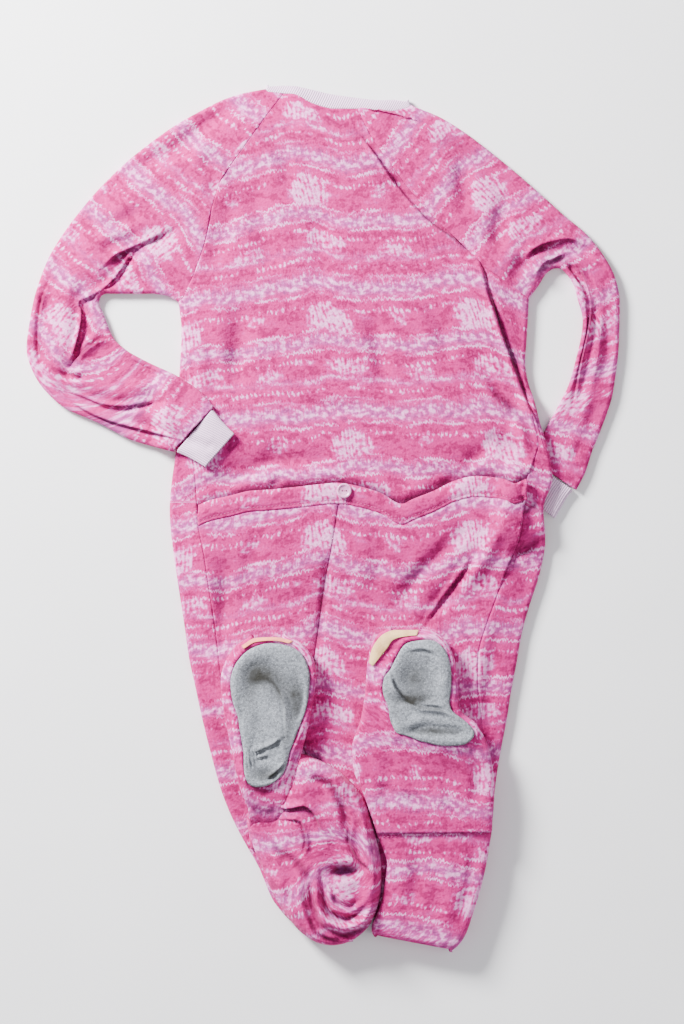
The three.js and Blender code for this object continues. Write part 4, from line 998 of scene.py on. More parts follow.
@dataclass(frozen=True)
class PatchFinish:
    """Short brushed fleece of a plain toe patch."""

    color: str
    # Colour where the nap is worn.
    darkened: str

    def make(self, name: str) -> bpy.types.Material:
        """Makes the patch cloth."""
        graph = Graph(name)
        place = graph.place()
        cloud = graph.noise(place, 60.0, 3.0)
        clump = graph.noise(place, 420.0, 3.0)
        tone = graph.calc("MULTIPLY_ADD", clump, 0.4, cloud)
        color = graph.add("ShaderNodeValToRGB", {"Fac": tone})
        set_ramp(color, [(0.45, linear(self.darkened)), (0.8, linear(self.color))])
        bump = graph.add("ShaderNodeBump", {"Height": clump, "Strength": 0.5, "Distance": 0.0009}).outputs[0]
        return graph.finish({
            "Base Color": color.outputs["Color"], "Roughness": 0.95, "Sheen Weight": 0.25, "Normal": bump,
        })


@dataclass(frozen=True)
class ButtonFinish:
    """Cast polyester button: glossy and a little cloudy, like pale shell."""

    color: str = "#e99fce"
    cloud: str = "#cb7fb2"

    def make(self, name: str) -> bpy.types.Material:
        """Makes the button's plastic."""
        graph = Graph(name)
        place = graph.place()
        swirl = graph.add(
            "ShaderNodeTexNoise", {"Vector": place, "Scale": 150.0, "Detail": 2.0, "Distortion": 1.5}
        ).outputs[0]
        color = graph.add("ShaderNodeValToRGB", {"Fac": swirl})
        set_ramp(color, [(0.35, linear(self.cloud)), (0.65, linear(self.color))])
        return graph.finish({
            "Base Color": color.outputs["Color"], "Roughness": 0.28, "IOR": 1.54,
            "Subsurface Weight": 0.1, "Subsurface Scale": 0.002,
        })


@dataclass(frozen=True)
class ThreadFinish:
    """Spun polyester sewing thread: two plies with a faint shine."""

    color: str = "#cb4a90"

    def make(self, name: str) -> bpy.types.Material:
        """Makes the thread."""
        graph = Graph(name)
        place = graph.place()
        ply = graph.noise(place, 1500.0, 1.0)
        color = graph.add("ShaderNodeValToRGB", {"Fac": ply})
        low = linear(self.color)
        set_ramp(color, [(0.3, (low[0] * 0.7, low[1] * 0.7, low[2] * 0.7, 1)), (0.7, low)])
        return graph.finish({
            "Base Color": color.outputs["Color"], "Roughness": 0.6,
        })


@dataclass
class Cloth:
    """A grid of places on a piece of cloth, with its place in the print and the painted shade of its creases,
    seams and hollows.
    """

    places: np.ndarray
    prints: np.ndarray
    crease: np.ndarray | None = None
    is_tube: bool = False
    inside: tuple[float, float, float] | None = None

    def mesh(self, name: str) -> bpy.types.Object:
        """Makes the cloth's surface.

        Args:
            name: Name of the piece.

        Returns:
            The object, with its faces outwards.
        """
        rows, columns = self.places.shape[:2]
        shape = bmesh.new()
        bmesh.ops.create_grid(shape, x_segments=columns - 1, y_segments=rows - 1, size=1.0)
        shape.verts.ensure_lookup_table()
        print_layer = shape.loops.layers.uv.new("print")
        # The crease attribute carries painted shade for the finishes.
        painted_shade_layer = shape.verts.layers.float.new("crease")
        where = {}
        for vert in shape.verts:
            i = round((vert.co.y + 1) / 2 * (rows - 1))
            j = round((vert.co.x + 1) / 2 * (columns - 1))
            where[vert] = (i, j)
        for face in shape.faces:
            for loop in face.loops:
                i, j = where[loop.vert]
                loop[print_layer].uv = (self.prints[i, j, 0] * MM, self.prints[i, j, 1] * MM)
        for vert, (i, j) in where.items():
            vert.co = Vector(self.places[i, j]) * MM
            if self.crease is not None:
                vert[painted_shade_layer] = float(self.crease[i, j])
        bmesh.ops.remove_doubles(shape, verts=shape.verts, dist=1e-5)
        centre = Vector(self.places.reshape(-1, 3).mean(0)) if self.inside is None else Vector(self.inside)
        shape.normal_update()
        volume = sum(
            (face.calc_center_median() / MM - centre).dot(face.normal) * face.calc_area()
            for face in shape.faces
        )
        if volume < 0:
            bmesh.ops.reverse_faces(shape, faces=shape.faces)
        return new_object(name, shape)

    def area(self) -> float:
        """Area of the cloth in square metres."""
        a = np.diff(self.places[:-1], axis=1)
        b = np.diff(self.places[:, :-1], axis=0)
        return float(np.linalg.norm(np.cross(a, b), axis=-1).sum()) * MM * MM


def new_object(name: str, shape: bmesh.types.BMesh) -> bpy.types.Object:
    """Turns a finished bmesh into a smooth-shaded object at the origin.

    Args:
        name: Name of the object.
        shape: Its mesh, which is freed.

    Returns:
        The object.
    """
    data = bpy.data.meshes.new(name)
    shape.to_mesh(data)
    shape.free()
    data.polygons.foreach_set("use_smooth", [True] * len(data.polygons))
    made = bpy.data.objects.new(name, data)
    bpy.context.scene.collection.objects.link(made)
    return made


def finish_piece(
    piece: bpy.types.Object, material: bpy.types.Material, nodes: tuple[str, ...] = (),
    wall: float = 0.0,
) -> None:
    """Gives a piece its finish, its body and its wall.

    Args:
        piece: The piece.
        material: Its finish.
        nodes: Solids that it stands for.
        wall: Thickness of the cloth in millimetres, 0 for none.
    """
    piece.data.materials.append(material)
    if wall:
        shell = piece.modifiers.new("wall", "SOLIDIFY")
        shell.thickness = wall * MM
        shell.offset = -1.0
        shell.use_even_offset = False
    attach(piece, "root")
    if nodes:
        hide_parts(*nodes)
    log.info("%s: %d faces", piece.name, len(piece.data.polygons))


def lay_sheet(
    piece: bpy.types.Object, cloth: Cloth,
) -> None:
    """Logs the size of a piece's cut, measured from its cloth.

    Args:
        piece: The piece.
        cloth: Its cloth.
    """
    width = float(np.max(lengths(cloth.places, 1))) * MM
    length = float(np.max(lengths(cloth.places, 0))) * MM
    area = cloth.area()
    width = max(LEAST_WIDTH, min(width, area / (CUT_FILL * length)))
    log.info("%s: cut %.3f by %.3f m, %.4f square metres", piece.name, width, length, area)


def crease_shade(x: np.ndarray, y: np.ndarray, creases: tuple[Crease, ...]) -> np.ndarray:
    """How deep in the shade of creases plan points lie, 0 to 1."""
    return crease_field(x, y, creases)[1]


def print_back(x: np.ndarray, y: np.ndarray) -> np.ndarray:
    """Places in the print over the back.

    Args:
        x: Plan x of the points.
        y: Plan y of the points.

    Returns:
        Places across and down the print, in millimetres.
    """
    rise = np.interp(x, BACK_BANDS[:, 0], BACK_BANDS[:, 1])
    dome_x, dome_y = BACK_DOME
    return np.stack([x - dome_x + BACK_LEAN * (y - dome_y), dome_y - y + rise], -1)


def print_seat(x: np.ndarray, y: np.ndarray) -> np.ndarray:
    """Places in the print over the drop seat and legs.

    Args:
        x: Plan x of the points.
        y: Plan y of the points.

    Returns:
        Places across and down the print, in millimetres.
    """
    rise = np.interp(x, SEAT_BANDS[:, 0], SEAT_BANDS[:, 1])
    return np.stack([x, SEAT_DOME_Y - y + rise], -1)


def plan_grid(left: Line, right: Line, columns: int, first: Line | None) -> np.ndarray:
    """Plan grid between two side lines, whose first row may follow a line of its own.

    Args:
        left: Points down the left side.
        right: Points down the right side.
        columns: Cells across.
        first: Points of the first row, or None for a straight one.

    Returns:
        Plan places by row and column.
    """
    share = np.linspace(0, 1, columns + 1)[None, :, None]
    grid = mix(left[:, None, :], right[:, None, :], share)
    if first is not None:
        rows = len(left)
        fade = smooth(1 - np.arange(rows) / (rows * 0.5))[:, None, None]
        grid = grid + (first[None] - grid[:1]) * fade
    return grid


def raised(plan: np.ndarray, height: Height) -> np.ndarray:
    """Puts a plan grid at its height."""
    return np.concatenate([plan, height(plan[..., 0], plan[..., 1])[..., None]], -1)


def turned_edge(point: Line, out: Line, radius: np.ndarray, low: np.ndarray, steps: int) -> np.ndarray:
    """Places round a turned edge from the underside to the top.

    Args:
        point: Edge points in plan.
        out: Outward plan normals there.
        radius: Radius of the turn at each point.
        low: Height of the underside at each point.
        steps: Steps round the turn.

    Returns:
        Places by point and step.
    """
    angle = (math.pi * (np.arange(steps + 1) / steps - 0.5))[None, :]
    reach = radius[:, None] * (1 - np.cos(angle))
    plan = point[:, None, :] - out[:, None, :] * reach[..., None]
    high = low[:, None] + radius[:, None] * (1 + np.sin(angle))
    return np.concatenate([plan, high[..., None]], -1)


@dataclass
class Bodice:
    """Back bodice, the largest panel, from the neck to its hem under the drop seat."""

    parts: int = 11
    neck_parts: int = 26

    def build(self, fleece: bpy.types.Material) -> None:
        """Builds the panel.

        Args:
            fleece: Its finish.
        """
        left = smooth_line(BODICE[:, 0:2], self.parts)
        right = smooth_line(BODICE[:, 2:4], self.parts)
        neck = smooth_line(NECK_BACK[:6, 0:2], self.neck_parts)
        plan = plan_grid(left, right, len(neck) - 1, neck)
        x, y = plan[..., 0], plan[..., 1]
        above = y - flap_line(x)
        # The band presses the bodice down along its own top edge, and painted shadow lies along that line.
        pressed_and_shaded = np.exp(-((np.clip(above, 0, None) / 7) ** 2)) * (above > -9)
        places = raised(plan, body_top)
        places[..., 2] += -2.0 * pressed_and_shaded + 2.2 * np.exp(-(((above - 15) / 8) ** 2))
        # Painted shadow under the band's edge joins the crease shade.
        shade = np.maximum(crease_shade(x, y, BODY_CREASES), pressed_and_shaded)
        cloth = Cloth(places, print_back(x, y), shade, inside=(40, 250, -200))
        piece = cloth.mesh("back_bodice_cloth")
        finish_piece(piece, fleece, ("back_bodice",), FLEECE)
        lay_sheet(piece, cloth)


@dataclass
class DropSeat:
    """Drop seat with its hem along the top, and the backs of both legs."""

    columns: int = 80
    parts: int = 12
    stitch_depth: float = 22.0  # from the folded top edge down to the row of stitches

    def lower(self, start: float, end: float, columns: int) -> Line:
        """Lower edge of the hem between two x places."""
        x = np.linspace(start, end, columns + 1)
        return np.stack([x, flap_line(x) - BAND_DEPTH], 1)

    def build_band(self, fleece: bpy.types.Material, thread: bpy.types.Material) -> None:
        """Builds the hem, folded at its top edge, and its row of stitches.

        Args:
            fleece: Finish of the hem.
            thread: Finish of the stitches.
        """
        left = self.lower(LEGS[0, 2], LEGS[0, 4], self.columns)
        right = self.lower(LEGS[0, 4], LEGS[0, 6], self.columns)
        lower = np.vstack([left, right[1:]])
        edge = np.stack([lower[:, 0], flap_line(lower[:, 0])], 1)
        shares = np.linspace(0, 1, 12)[:, None, None]
        plan = mix(edge[None], lower[None], shares)
        places = raised(plan, seat_top)
        depth = flap_line(places[..., 0]) - places[..., 1]
        swell = 0.8 + 1.1 * np.sin(np.clip(depth / self.stitch_depth, 0, 1) * math.pi) ** 0.7
        groove = 1.3 * np.exp(-(((depth - self.stitch_depth) / 1.6) ** 2))
        places[..., 2] += swell - groove
        rolled = []
        for angle in (-1.5, -1.1, -0.7, -0.3):
            row = places[0].copy()
            row[:, 1] += 1.6 * math.cos(angle)
            row[:, 2] += 1.6 * (math.sin(angle) - 1)
            rolled.append(row)
        places = np.concatenate([np.array(rolled), places])
        prints = print_seat(places[..., 0], places[..., 1] - 60)
        from_stitches = flap_line(places[..., 0]) - places[..., 1] - self.stitch_depth
        shade = 0.25 * np.exp(-((from_stitches / 2.2) ** 2))
        cloth = Cloth(places, prints, shade, inside=(50, 30, -200))
        piece = cloth.mesh("seat_band_cloth")
        finish_piece(piece, fleece, ("seat_band",), 2.6)
        row = 4 + int(np.argmin(np.abs(np.linspace(0, BAND_DEPTH, 12) - self.stitch_depth)))
        seam = sew(places[row] + (0, 0, 0.2), "seat_band_stitches", thread)
        lay_sheet(piece, cloth)

    def build_half(self, side: Side, fleece: bpy.types.Material) -> None:
        """Builds the back of the seat and of one leg.

        Args:
            side: Which leg.
            fleece: Its finish.
        """
        is_left = side is Side.LEFT
        edge = LEGS[:, 2:4] if is_left else LEGS[:, 6:8]
        middle = LEGS[:, 4:6]
        if is_left:
            edge = np.vstack([edge, [LEFT_LEG_END[1]]])
            middle = np.vstack([middle, [LEFT_LEG_END[2]]])
        side_line, middle_line = smooth_line(edge, self.parts), smooth_line(middle, self.parts)
        if is_left:
            first = self.lower(LEGS[0, 2], LEGS[0, 4], self.columns)
            plan = plan_grid(side_line, middle_line, self.columns, first)
        else:
            first = self.lower(LEGS[0, 4], LEGS[0, 6], self.columns)
            plan = plan_grid(middle_line, side_line, self.columns, first)
        x, y = plan[..., 0], plan[..., 1]
        places = raised(plan, seat_top)
        shade = crease_shade(x, y, SEAT_CREASES)
        to_middle = line_distance(x, y, LEGS[:, 4:6])
        places[..., 2] -= 0.9 * np.exp(-((to_middle / 2.6) ** 2))
        shade = np.clip(shade + 0.5 * np.exp(-((to_middle / 3) ** 2)), 0, 1)
        cloth = Cloth(places, print_seat(x, y), shade, inside=(50, -250, -200))
        name = f"seat_back_{side.value}"
        piece = cloth.mesh(f"{name}_cloth")
        finish_piece(piece, fleece, (name,), FLEECE)
        lay_sheet(piece, cloth)


@dataclass
class Front:
    """One front half: flat below, turned round the edge, with a strip on top up to the side seam."""

    side: Side
    parts: int = 12
    strip_columns: int = 12

    def build(self, fleece: bpy.types.Material) -> None:
        """Builds the panel.

        Args:
            fleece: Its finish.
        """
        is_left = self.side is Side.LEFT
        start = 8 if is_left else 7
        seam = BODICE[start:16, 0:2] if is_left else BODICE[start:16, 2:4]
        seam = np.vstack([seam, LEGS[:, 2:4] if is_left else LEGS[:, 6:8]])
        edge = LEFT_BODY_EDGE if is_left else RIGHT_BODY_EDGE
        middle_leg = LEGS[CROTCH_ROW:, 4:6]
        if is_left:
            seam = np.vstack([seam, [LEFT_LEG_END[1]]])
            middle_leg = np.vstack([middle_leg, [LEFT_LEG_END[2]]])
        upper = len(edge) - len(middle_leg)
        share = (np.arange(upper) / upper)[:, None]
        middle = np.vstack([mix(np.array(NECK_LOW), LEGS[CROTCH_ROW, 4:6], share), middle_leg])
        edge, seam, middle = (smooth_line(line, self.parts) for line in (edge, seam, middle))
        out = outwards(edge, middle)
        ease = smooth(np.arange(len(edge)) / (0.9 * self.parts))[:, None]
        out = mix(np.array(ARMPIT_LEFT if is_left else ARMPIT_RIGHT), out, ease)
        out /= np.hypot(out[:, 0], out[:, 1])[:, None]
        turned = edge - out * EDGE
        under = [0, 2, 4, 6] if is_left else [0, 2, 4, 7]
        raglan = BODICE[under, 0:2] if is_left else BODICE[under, 2:4]
        first = [NECK_FRONT[4, 0:2] if is_left else NECK_FRONT[2, 0:2]]
        last = [] if is_left else [[ARMPIT_CORNER_RIGHT]]
        armhole = np.vstack([[NECK_LOW], first, raglan, *last, turned[:1]])
        shares = np.array((0, 0.3, 0.55, 0.72, 0.82, 0.9, 0.96, 1))
        if is_left:
            shares = np.array((0, 0.25, 0.5, 0.7, 0.86, 0.95, 1))
        fine = np.linspace(0, 1, 31)
        even = np.linspace(0, 1, len(shares))
        armhole = np.stack([np.interp(fine, even, armhole[:, k]) for k in (0, 1)], 1)
        shares = np.interp(fine, even, shares)
        yoke_rows = (3 if is_left else 4) * self.parts
        yoke = ((1 - np.clip(np.arange(len(edge)) / yoke_rows, 0, 1)) ** 1.5)[:, None, None]
        flat = mix(middle[:, None], turned[:, None], shares[None, :, None])
        straight = mix(middle[:1, None], turned[:1, None], shares[None, :, None])
        flat = flat + (armhole[None] - straight) * yoke
        bottom = raised(flat, lift)
        steps = 10
        low = lift(turned[:, 0], turned[:, 1])
        arc = turned_edge(edge, out, np.full(len(edge), EDGE), low, steps)[:, 1:]
        strip_share = (np.arange(1, self.strip_columns + 1) / self.strip_columns)[None, :, None]
        strip_plan = mix(turned[:, None], seam[:, None], strip_share)
        creases = (*BODY_CREASES, *SEAT_CREASES)

        def top(x: np.ndarray, y: np.ndarray) -> np.ndarray:
            """Top of the strip, creased like its neighbours."""
            return body_top(x, y) + crease_height(x, y, SEAT_CREASES) * smooth((10 - y) / 40)

        strip = raised(strip_plan, top)
        places = np.concatenate([bottom, arc, strip], 1)
        girth = lengths(places, 1)
        flip = -1 if is_left else 1
        from_seam = (girth[:, -1:] - girth) * flip
        seam_x = seam[:, 0:1]
        down = np.broadcast_to(seam[:, 1:2], girth.shape)
        back = print_back(seam_x + from_seam, mix(down, places[..., 1], 0.85))
        seat = print_seat(seam_x + from_seam, mix(down, places[..., 1], 0.85))
        prints = np.where((down > 20)[..., None], back, seat)
        shade = crease_shade(places[..., 0], places[..., 1], creases) * (places[..., 2] > 6)
        cloth = Cloth(places, prints, shade, inside=tuple(places.reshape(-1, 3).mean(0)[:2]) + (5.0,))
        name = f"front_{self.side.value}"
        piece = cloth.mesh(f"{name}_cloth")
        finish_piece(piece, fleece, (name,), FLEECE)
        lay_sheet(piece, cloth)


def chord_shares(line: Line, start: Line, end: Line) -> tuple[np.ndarray, Line]:
    """Shares along a chord, and offsets from it, of a line of points."""
    chord = end - start
    shares = (line - start) @ chord / float(chord @ chord)
    return shares, line - start - chord[None] * shares[:, None]


@dataclass
class Section:
    """One closed tube of cloth laid flat, from rows of outer and inner edge points."""

    outer: Line
    inner: Line
    outer_out: Line
    inner_out: Line
    radius: np.ndarray
    top_shares: np.ndarray
    top_bow: np.ndarray
    under_shares: np.ndarray
    under_bow: np.ndarray
    steps: int = 10

    def places(self, low: Height, high: Callable[[np.ndarray, np.ndarray], np.ndarray]) -> np.ndarray:
        """Places round each section.

        Args:
            low: Height of the underside.
            high: Height of the top, over arrays by row and column.

        Returns:
            Places by row and column: outer turn, top, inner turn, underside, closed.
        """
        a_in = self.outer - self.outer_out * self.radius[:, None]
        b_in = self.inner - self.inner_out * self.radius[:, None]
        first = turned_edge(self.outer, self.outer_out, self.radius, low(a_in[:, 0], a_in[:, 1]), self.steps)
        top = mix(a_in[:, None], b_in[:, None], self.top_shares[..., None]) + self.top_bow
        last = turned_edge(self.inner, self.inner_out, self.radius, low(b_in[:, 0], b_in[:, 1]), self.steps)
        under = mix(b_in[:, None], a_in[:, None], self.under_shares[..., None]) + self.under_bow
        ring = np.concatenate([first, raised(top, high), last[:, ::-1], raised(under, low)], 1)
        return np.concatenate([ring, ring[:, :1]], 1)


@dataclass
class Sleeve:
    """A raglan sleeve from its seam to the cuff, with the folds at the elbow."""

    side: Side
    parts: int = 9

    def prints(self, places: np.ndarray, along: np.ndarray) -> np.ndarray:
        """Lays the print, whose bands run across the sleeve and turn with it at the elbow.

        Args:
            places: Places of the cloth by row and column.
            along: Length down the sleeve at each row.

        Returns:
            Places across and down the print, in millimetres.
        """
        elbow, turned, upper_length = SLEEVE_BENDS[self.side.value]
        bend = smooth((along - upper_length) / SLEEVE_BEND_LENGTH)[:, None]
        angle = np.radians(mix(turned[0], turned[1], bend))
        u, v = places[..., 0] - elbow[0], places[..., 1] - elbow[1]
        across = u * np.cos(angle) + v * np.sin(angle) + 30
        return np.stack([across, u * np.sin(angle) - v * np.cos(angle)], -1)

    def build(self, fleece: bpy.types.Material) -> None:
        """Builds the sleeve.

        Args:
            fleece: Its finish.
        """
        is_left = self.side is Side.LEFT
        table = SLEEVE_LEFT if is_left else SLEEVE_RIGHT
        rows = smooth_line(table, self.parts)
        outer, inner, bow, full = rows[:, 0:2], rows[:, 2:4], np.clip(rows[:, 4], 0, 1), rows[:, 5]
        outer_out, inner_out = outwards(outer, inner), outwards(inner, outer)
        ease = smooth(np.arange(len(rows)) / self.parts)[:, None]
        outer_out = mix(np.array(NECK_OUT_LEFT if is_left else NECK_OUT_RIGHT), outer_out, ease)
        inner_out = mix(np.array(ARMPIT_LEFT if is_left else ARMPIT_RIGHT), inner_out, ease)
        outer_out /= np.hypot(outer_out[:, 0], outer_out[:, 1])[:, None]
        inner_out /= np.hypot(inner_out[:, 0], inner_out[:, 1])[:, None]
        radius = EDGE * full
        if is_left:
            raglan = BODICE[:9, 0:2]
            below = BODICE[[6, 4, 2, 0], 0:2]
        else:
            raglan = np.vstack([
                [NECK_CORNER_RIGHT, (70, 547.5)], BODICE[:8, 2:4], [(233, 325.6), ARMPIT_CORNER_RIGHT],
            ])
            below = np.vstack([[ARMPIT_CORNER_RIGHT], BODICE[[7, 4, 2, 0], 2:4], [NECK_CORNER_RIGHT]])
        first_a = outer[0] - outer_out[0] * EDGE
        first_b = inner[0] - inner_out[0] * EDGE
        top_line = smooth_line(raglan, 9 if is_left else 7)
        top_share, top_bow = chord_shares(top_line, first_a, first_b)
        under_share, under_bow = chord_shares(smooth_line(below, 4), first_b, first_a)
        keep = np.clip(bow * 1.5, 0, 1)[:, None]

        def eased(shares: np.ndarray) -> np.ndarray:
            """Shares that run from the raglan's own to even ones."""
            even = np.arange(1, len(shares) + 1) / (len(shares) + 1)
            return mix(even[None], shares[None], keep)

        section = Section(
            outer, inner, outer_out, inner_out, radius, eased(top_share), top_bow[None] * bow[:, None, None],
            eased(under_share), under_bow[None] * bow[:, None, None],
        )
        low = left_support if is_left else flat_support
        creases = SLEEVE_LEFT_CREASES if is_left else SLEEVE_RIGHT_CREASES
        lines = (table[:, 0:2], table[:, 2:4])

        def high(x: np.ndarray, y: np.ndarray) -> np.ndarray:
            """Top of the sleeve."""
            own = puff(x, y, lines) - 2 * EDGE
            tucked = 1.0 if is_left else 1 - lift(x, y) / TUCK
            own = own + crease_height(x, y, creases)
            return low(x, y) + (2 * EDGE + np.maximum(own * tucked, -4.8)) * full[:, None]

        places = section.places(low, high)
        prints = self.prints(places, lengths((outer + inner) / 2, 0))
        shade = crease_shade(places[..., 0], places[..., 1], creases) * (places[..., 2] > 7)
        cloth = Cloth(places, prints, shade, is_tube=True)
        name = f"sleeve_{self.side.value}"
        piece = cloth.mesh(f"{name}_cloth")
        finish_piece(piece, fleece, (name,), FLEECE)
        lay_sheet(piece, cloth)


@dataclass
class Cuff:
    """A rib cuff, open at its free end."""

    side: Side
    parts: int = 8

    def build(self, rib: bpy.types.Material) -> None:
        """Builds the cuff.

        Args:
            rib: Its finish.
        """
        is_left = self.side is Side.LEFT
        rows = smooth_line(CUFF_LEFT if is_left else CUFF_RIGHT, self.parts)
        outer, inner = rows[:, 0:2], rows[:, 2:4]
        count = len(rows)
        shares = np.broadcast_to(np.linspace(0, 1, 26)[None, 1:-1], (count, 24))
        still = np.zeros((count, 24, 2))
        section = Section(
            outer, inner, outwards(outer, inner), outwards(inner, outer), np.full(count, CUFF_EDGE),
            shares, still, shares, still,
        )
        low = left_support if is_left else flat_support
        fold = Crease(6, -1.0, ((318, 50), (290, 20)))
        if is_left:
            fold = Crease(6, -1.4, ((-189, 105), (-144, 92)))

        def high(x: np.ndarray, y: np.ndarray) -> np.ndarray:
            """Top of the cuff."""
            swell = 0.7 * np.sin(np.linspace(0, math.pi, x.shape[0]))[:, None]
            return low(x, y) + 2 * CUFF_EDGE + crease_height(x, y, (fold,)) + swell

        places = section.places(low, high)
        girth = lengths(places, 1)
        prints = np.stack([girth, np.broadcast_to(lengths(outer, 0)[:, None], girth.shape)], -1)
        cloth = Cloth(places, prints, is_tube=True)
        name = f"cuff_{self.side.value}"
        piece = cloth.mesh(f"{name}_cloth")
        finish_piece(piece, rib, (name,), RIB)
        lay_sheet(piece, cloth)


@dataclass
class Neckband:
    """The rib neckband, a ring whose back lies on its front."""

    rows: int = 10

    def build(self, rib: bpy.types.Material) -> None:
        """Builds the band.

        Args:
            rib: Its finish.
        """
        back, front = smooth_line(NECK_BACK, 7), smooth_line(NECK_FRONT, 5)
        rings = []
        for share in np.linspace(0, 1, self.rows):
            bulge = 1.0 * math.sin(math.pi * share)
            radius = np.array([EDGE - 1.2 * share])
            none = np.zeros(1)

            def edge_turn(spot: tuple[float, ...], out: tuple[float, float]) -> np.ndarray:
                """Turn at one end of the band."""
                place = np.array([[mix(spot[0], spot[2], share), mix(spot[1], spot[3], share)]])
                return turned_edge(place, np.array([out]), radius, none, 8)[0]

            back_plan = mix(back[:, 0:2], back[:, 2:4], share)
            high = mix(body_top(back_plan[:, 0], back_plan[:, 1]), 2 * EDGE - 2.5, share) + bulge
            front_plan = mix(front[:, 0:2], front[:, 2:4], share)
            rings.append(np.vstack([
                edge_turn(NECK_LEFT, NECK_OUT_LEFT),
                np.column_stack([back_plan, high]),
                edge_turn(NECK_RIGHT, NECK_OUT_RIGHT)[::-1],
                np.column_stack([front_plan, np.zeros(len(front_plan))]),
            ]))
        places = np.array(rings)
        places = np.concatenate([places, places[:, :1]], 1)
        girth = lengths(places, 1)
        depth = np.linspace(0, 18, self.rows)[:, None]
        cloth = Cloth(places, np.stack([girth, np.broadcast_to(depth, girth.shape)], -1), is_tube=True)
        piece = cloth.mesh("neckband_cloth")
        finish_piece(piece, rib, ("neckband",), RIB)
        lay_sheet(piece, cloth)


def rim_rise(x: np.ndarray, y: np.ndarray) -> np.ndarray:
    """Rise of the fleece where it is drawn up round a sole's edge.

    Args:
        x: Plan x of the points.
        y: Plan y of the points.

    Returns:
        The rise in millimetres.
    """
    rise = np.zeros(np.shape(x))
    for centre, radii in (SOLE_LEFT, SOLE_RIGHT):
        angle = np.arctan2(y - centre[1], x - centre[0]) % (2 * math.pi)
        turns = np.linspace(0, 2 * math.pi, len(radii) + 1)
        outside = np.hypot(x - centre[0], y - centre[1]) - np.interp(angle, turns, np.append(radii, radii[0]))
        rise = rise + RIM_RISE * np.exp(-(((outside - RIM_OUTSIDE) / RIM_WIDTH) ** 2))
    return rise


@dataclass
class FoldedStretch:
    """A folded stretch of leg or foot: a flat tube whose two layers show at its edges."""

    name: str
    rows: Line
    level: float
    closed: tuple[str, ...]  # ends that are sewn shut, first or last
    creases: tuple[Crease, ...]
    drop_rows: int = 0  # first rows that come down to the surface
    parts: int = 7
    columns: int = 44
    crown: float = 1.2
    sink: float = 0.0  # how far the first end sinks under the cloth round it

    def top(self, x: np.ndarray, y: np.ndarray) -> np.ndarray:
        """Top of the stretch: nearly level, rounded down at its sides and closed ends."""
        left, right = self.rows[:, 0:2], self.rows[:, 2:4]
        side = np.minimum(line_distance(x, y, left), line_distance(x, y, right))
        high = self.level - 3.0 * (1 - np.clip(side / 12, 0, 1)) ** 2
        ends = {"first": np.array([left[0], right[0]]), "last": np.array([left[-1], right[-1]])}
        for end in self.closed:
            high = high - 8 * (1 - np.clip(line_distance(x, y, ends[end]) / 16, 0, 1)) ** 2.5
        if self.sink:
            high = high - self.sink * (1 - smooth(line_distance(x, y, ends["first"]) / 62))
        high = high + self.crown * smooth(side / 30) + rim_rise(x, y)
        return high + crease_height(x, y, self.creases) + 0.8 * ripple(x * 1.4, y * 1.4) * smooth(side / 12)

    def build(self, fleece: bpy.types.Material, extra_shade: Callable | None = None) -> None:
        """Builds the stretch.

        Args:
            fleece: Its finish.
            extra_shade: Extra painted shade over the plan, or None.
        """
        rows = smooth_line(self.rows, self.parts)
        left, right = rows[:, 0:2], rows[:, 2:4]
        left_out, right_out = outwards(left, right), outwards(right, left)
        dropped = 1 - np.clip(np.arange(len(rows)) / self.parts - (self.drop_rows - 1), 0, 1)
        if not self.drop_rows:
            dropped[:] = 0
        profile = ((1, 1), (0.6, 0.97), (0.25, 0.88), (0.02, 0.76), (0.1, 0.62), (0.4, 0.53), (0.42, 0.47),
                   (0.1, 0.38), (0.02, 0.25), (0.25, 0.12), (0.6, 0.03), (1, 0))

        def side_rings(line: Line, out: Line) -> np.ndarray:
            """Places down one side, from the top layer to the bottom one."""
            inner = line - out * SLAB_EDGE
            bottom = rest_height(inner[:, 0], inner[:, 1]) * (1 - dropped)
            top = self.top(inner[:, 0], inner[:, 1])
            rings = []
            for depth, share in profile:
                plan = line - out * SLAB_EDGE * depth
                rings.append(np.column_stack([plan, mix(bottom, top, share)]))
            return np.stack(rings, 1)

        left_in, right_in = left - left_out * SLAB_EDGE, right - right_out * SLAB_EDGE
        share = np.linspace(0, 1, self.columns + 1)[None, 1:-1, None]
        across = mix(left_in[:, None], right_in[:, None], share)
        upper = raised(across, self.top)
        bottom = rest_height(across[..., 0], across[..., 1]) * (1 - dropped)[:, None]
        lower = np.concatenate([across, bottom[..., None]], -1)
        left_ring, right_ring = side_rings(left, left_out), side_rings(right, right_out)
        ring = np.concatenate([left_ring[:, ::-1], upper, right_ring, lower[:, ::-1]], 1)
        places = np.concatenate([ring, ring[:, :1]], 1)
        for end in self.closed:
            i = 0 if end == "first" else -1
            height = mix(places[i][:, 2].min(), places[i][:, 2].max(), 0.45)
            cap = [places[i].copy() for _ in range(3)]
            for row, s in zip(cap, (0.35, 0.7, 1.0)):
                row[:, 2] = mix(row[:, 2], height, s)
            stack = np.array(cap)
            places = np.concatenate([stack[::-1], places] if end == "first" else [places, stack])
        x, y = places[..., 0], places[..., 1]
        girth = lengths(places, 1)
        along = np.broadcast_to(places[..., 1].mean(1)[:, None], girth.shape)
        prints = np.stack([girth - girth[:, -1:] / 2, along], -1)
        shade = crease_shade(x, y, self.creases)
        # Painted shade behind the heels joins the crease shade.
        if extra_shade is not None:
            shade = np.clip(shade + extra_shade(x, y), 0, 1)
        cloth = Cloth(places, prints, shade, is_tube=True)
        piece = cloth.mesh(f"{self.name}_cloth")
        finish_piece(piece, fleece, (self.name,), FLEECE)
        lay_sheet(piece, cloth)


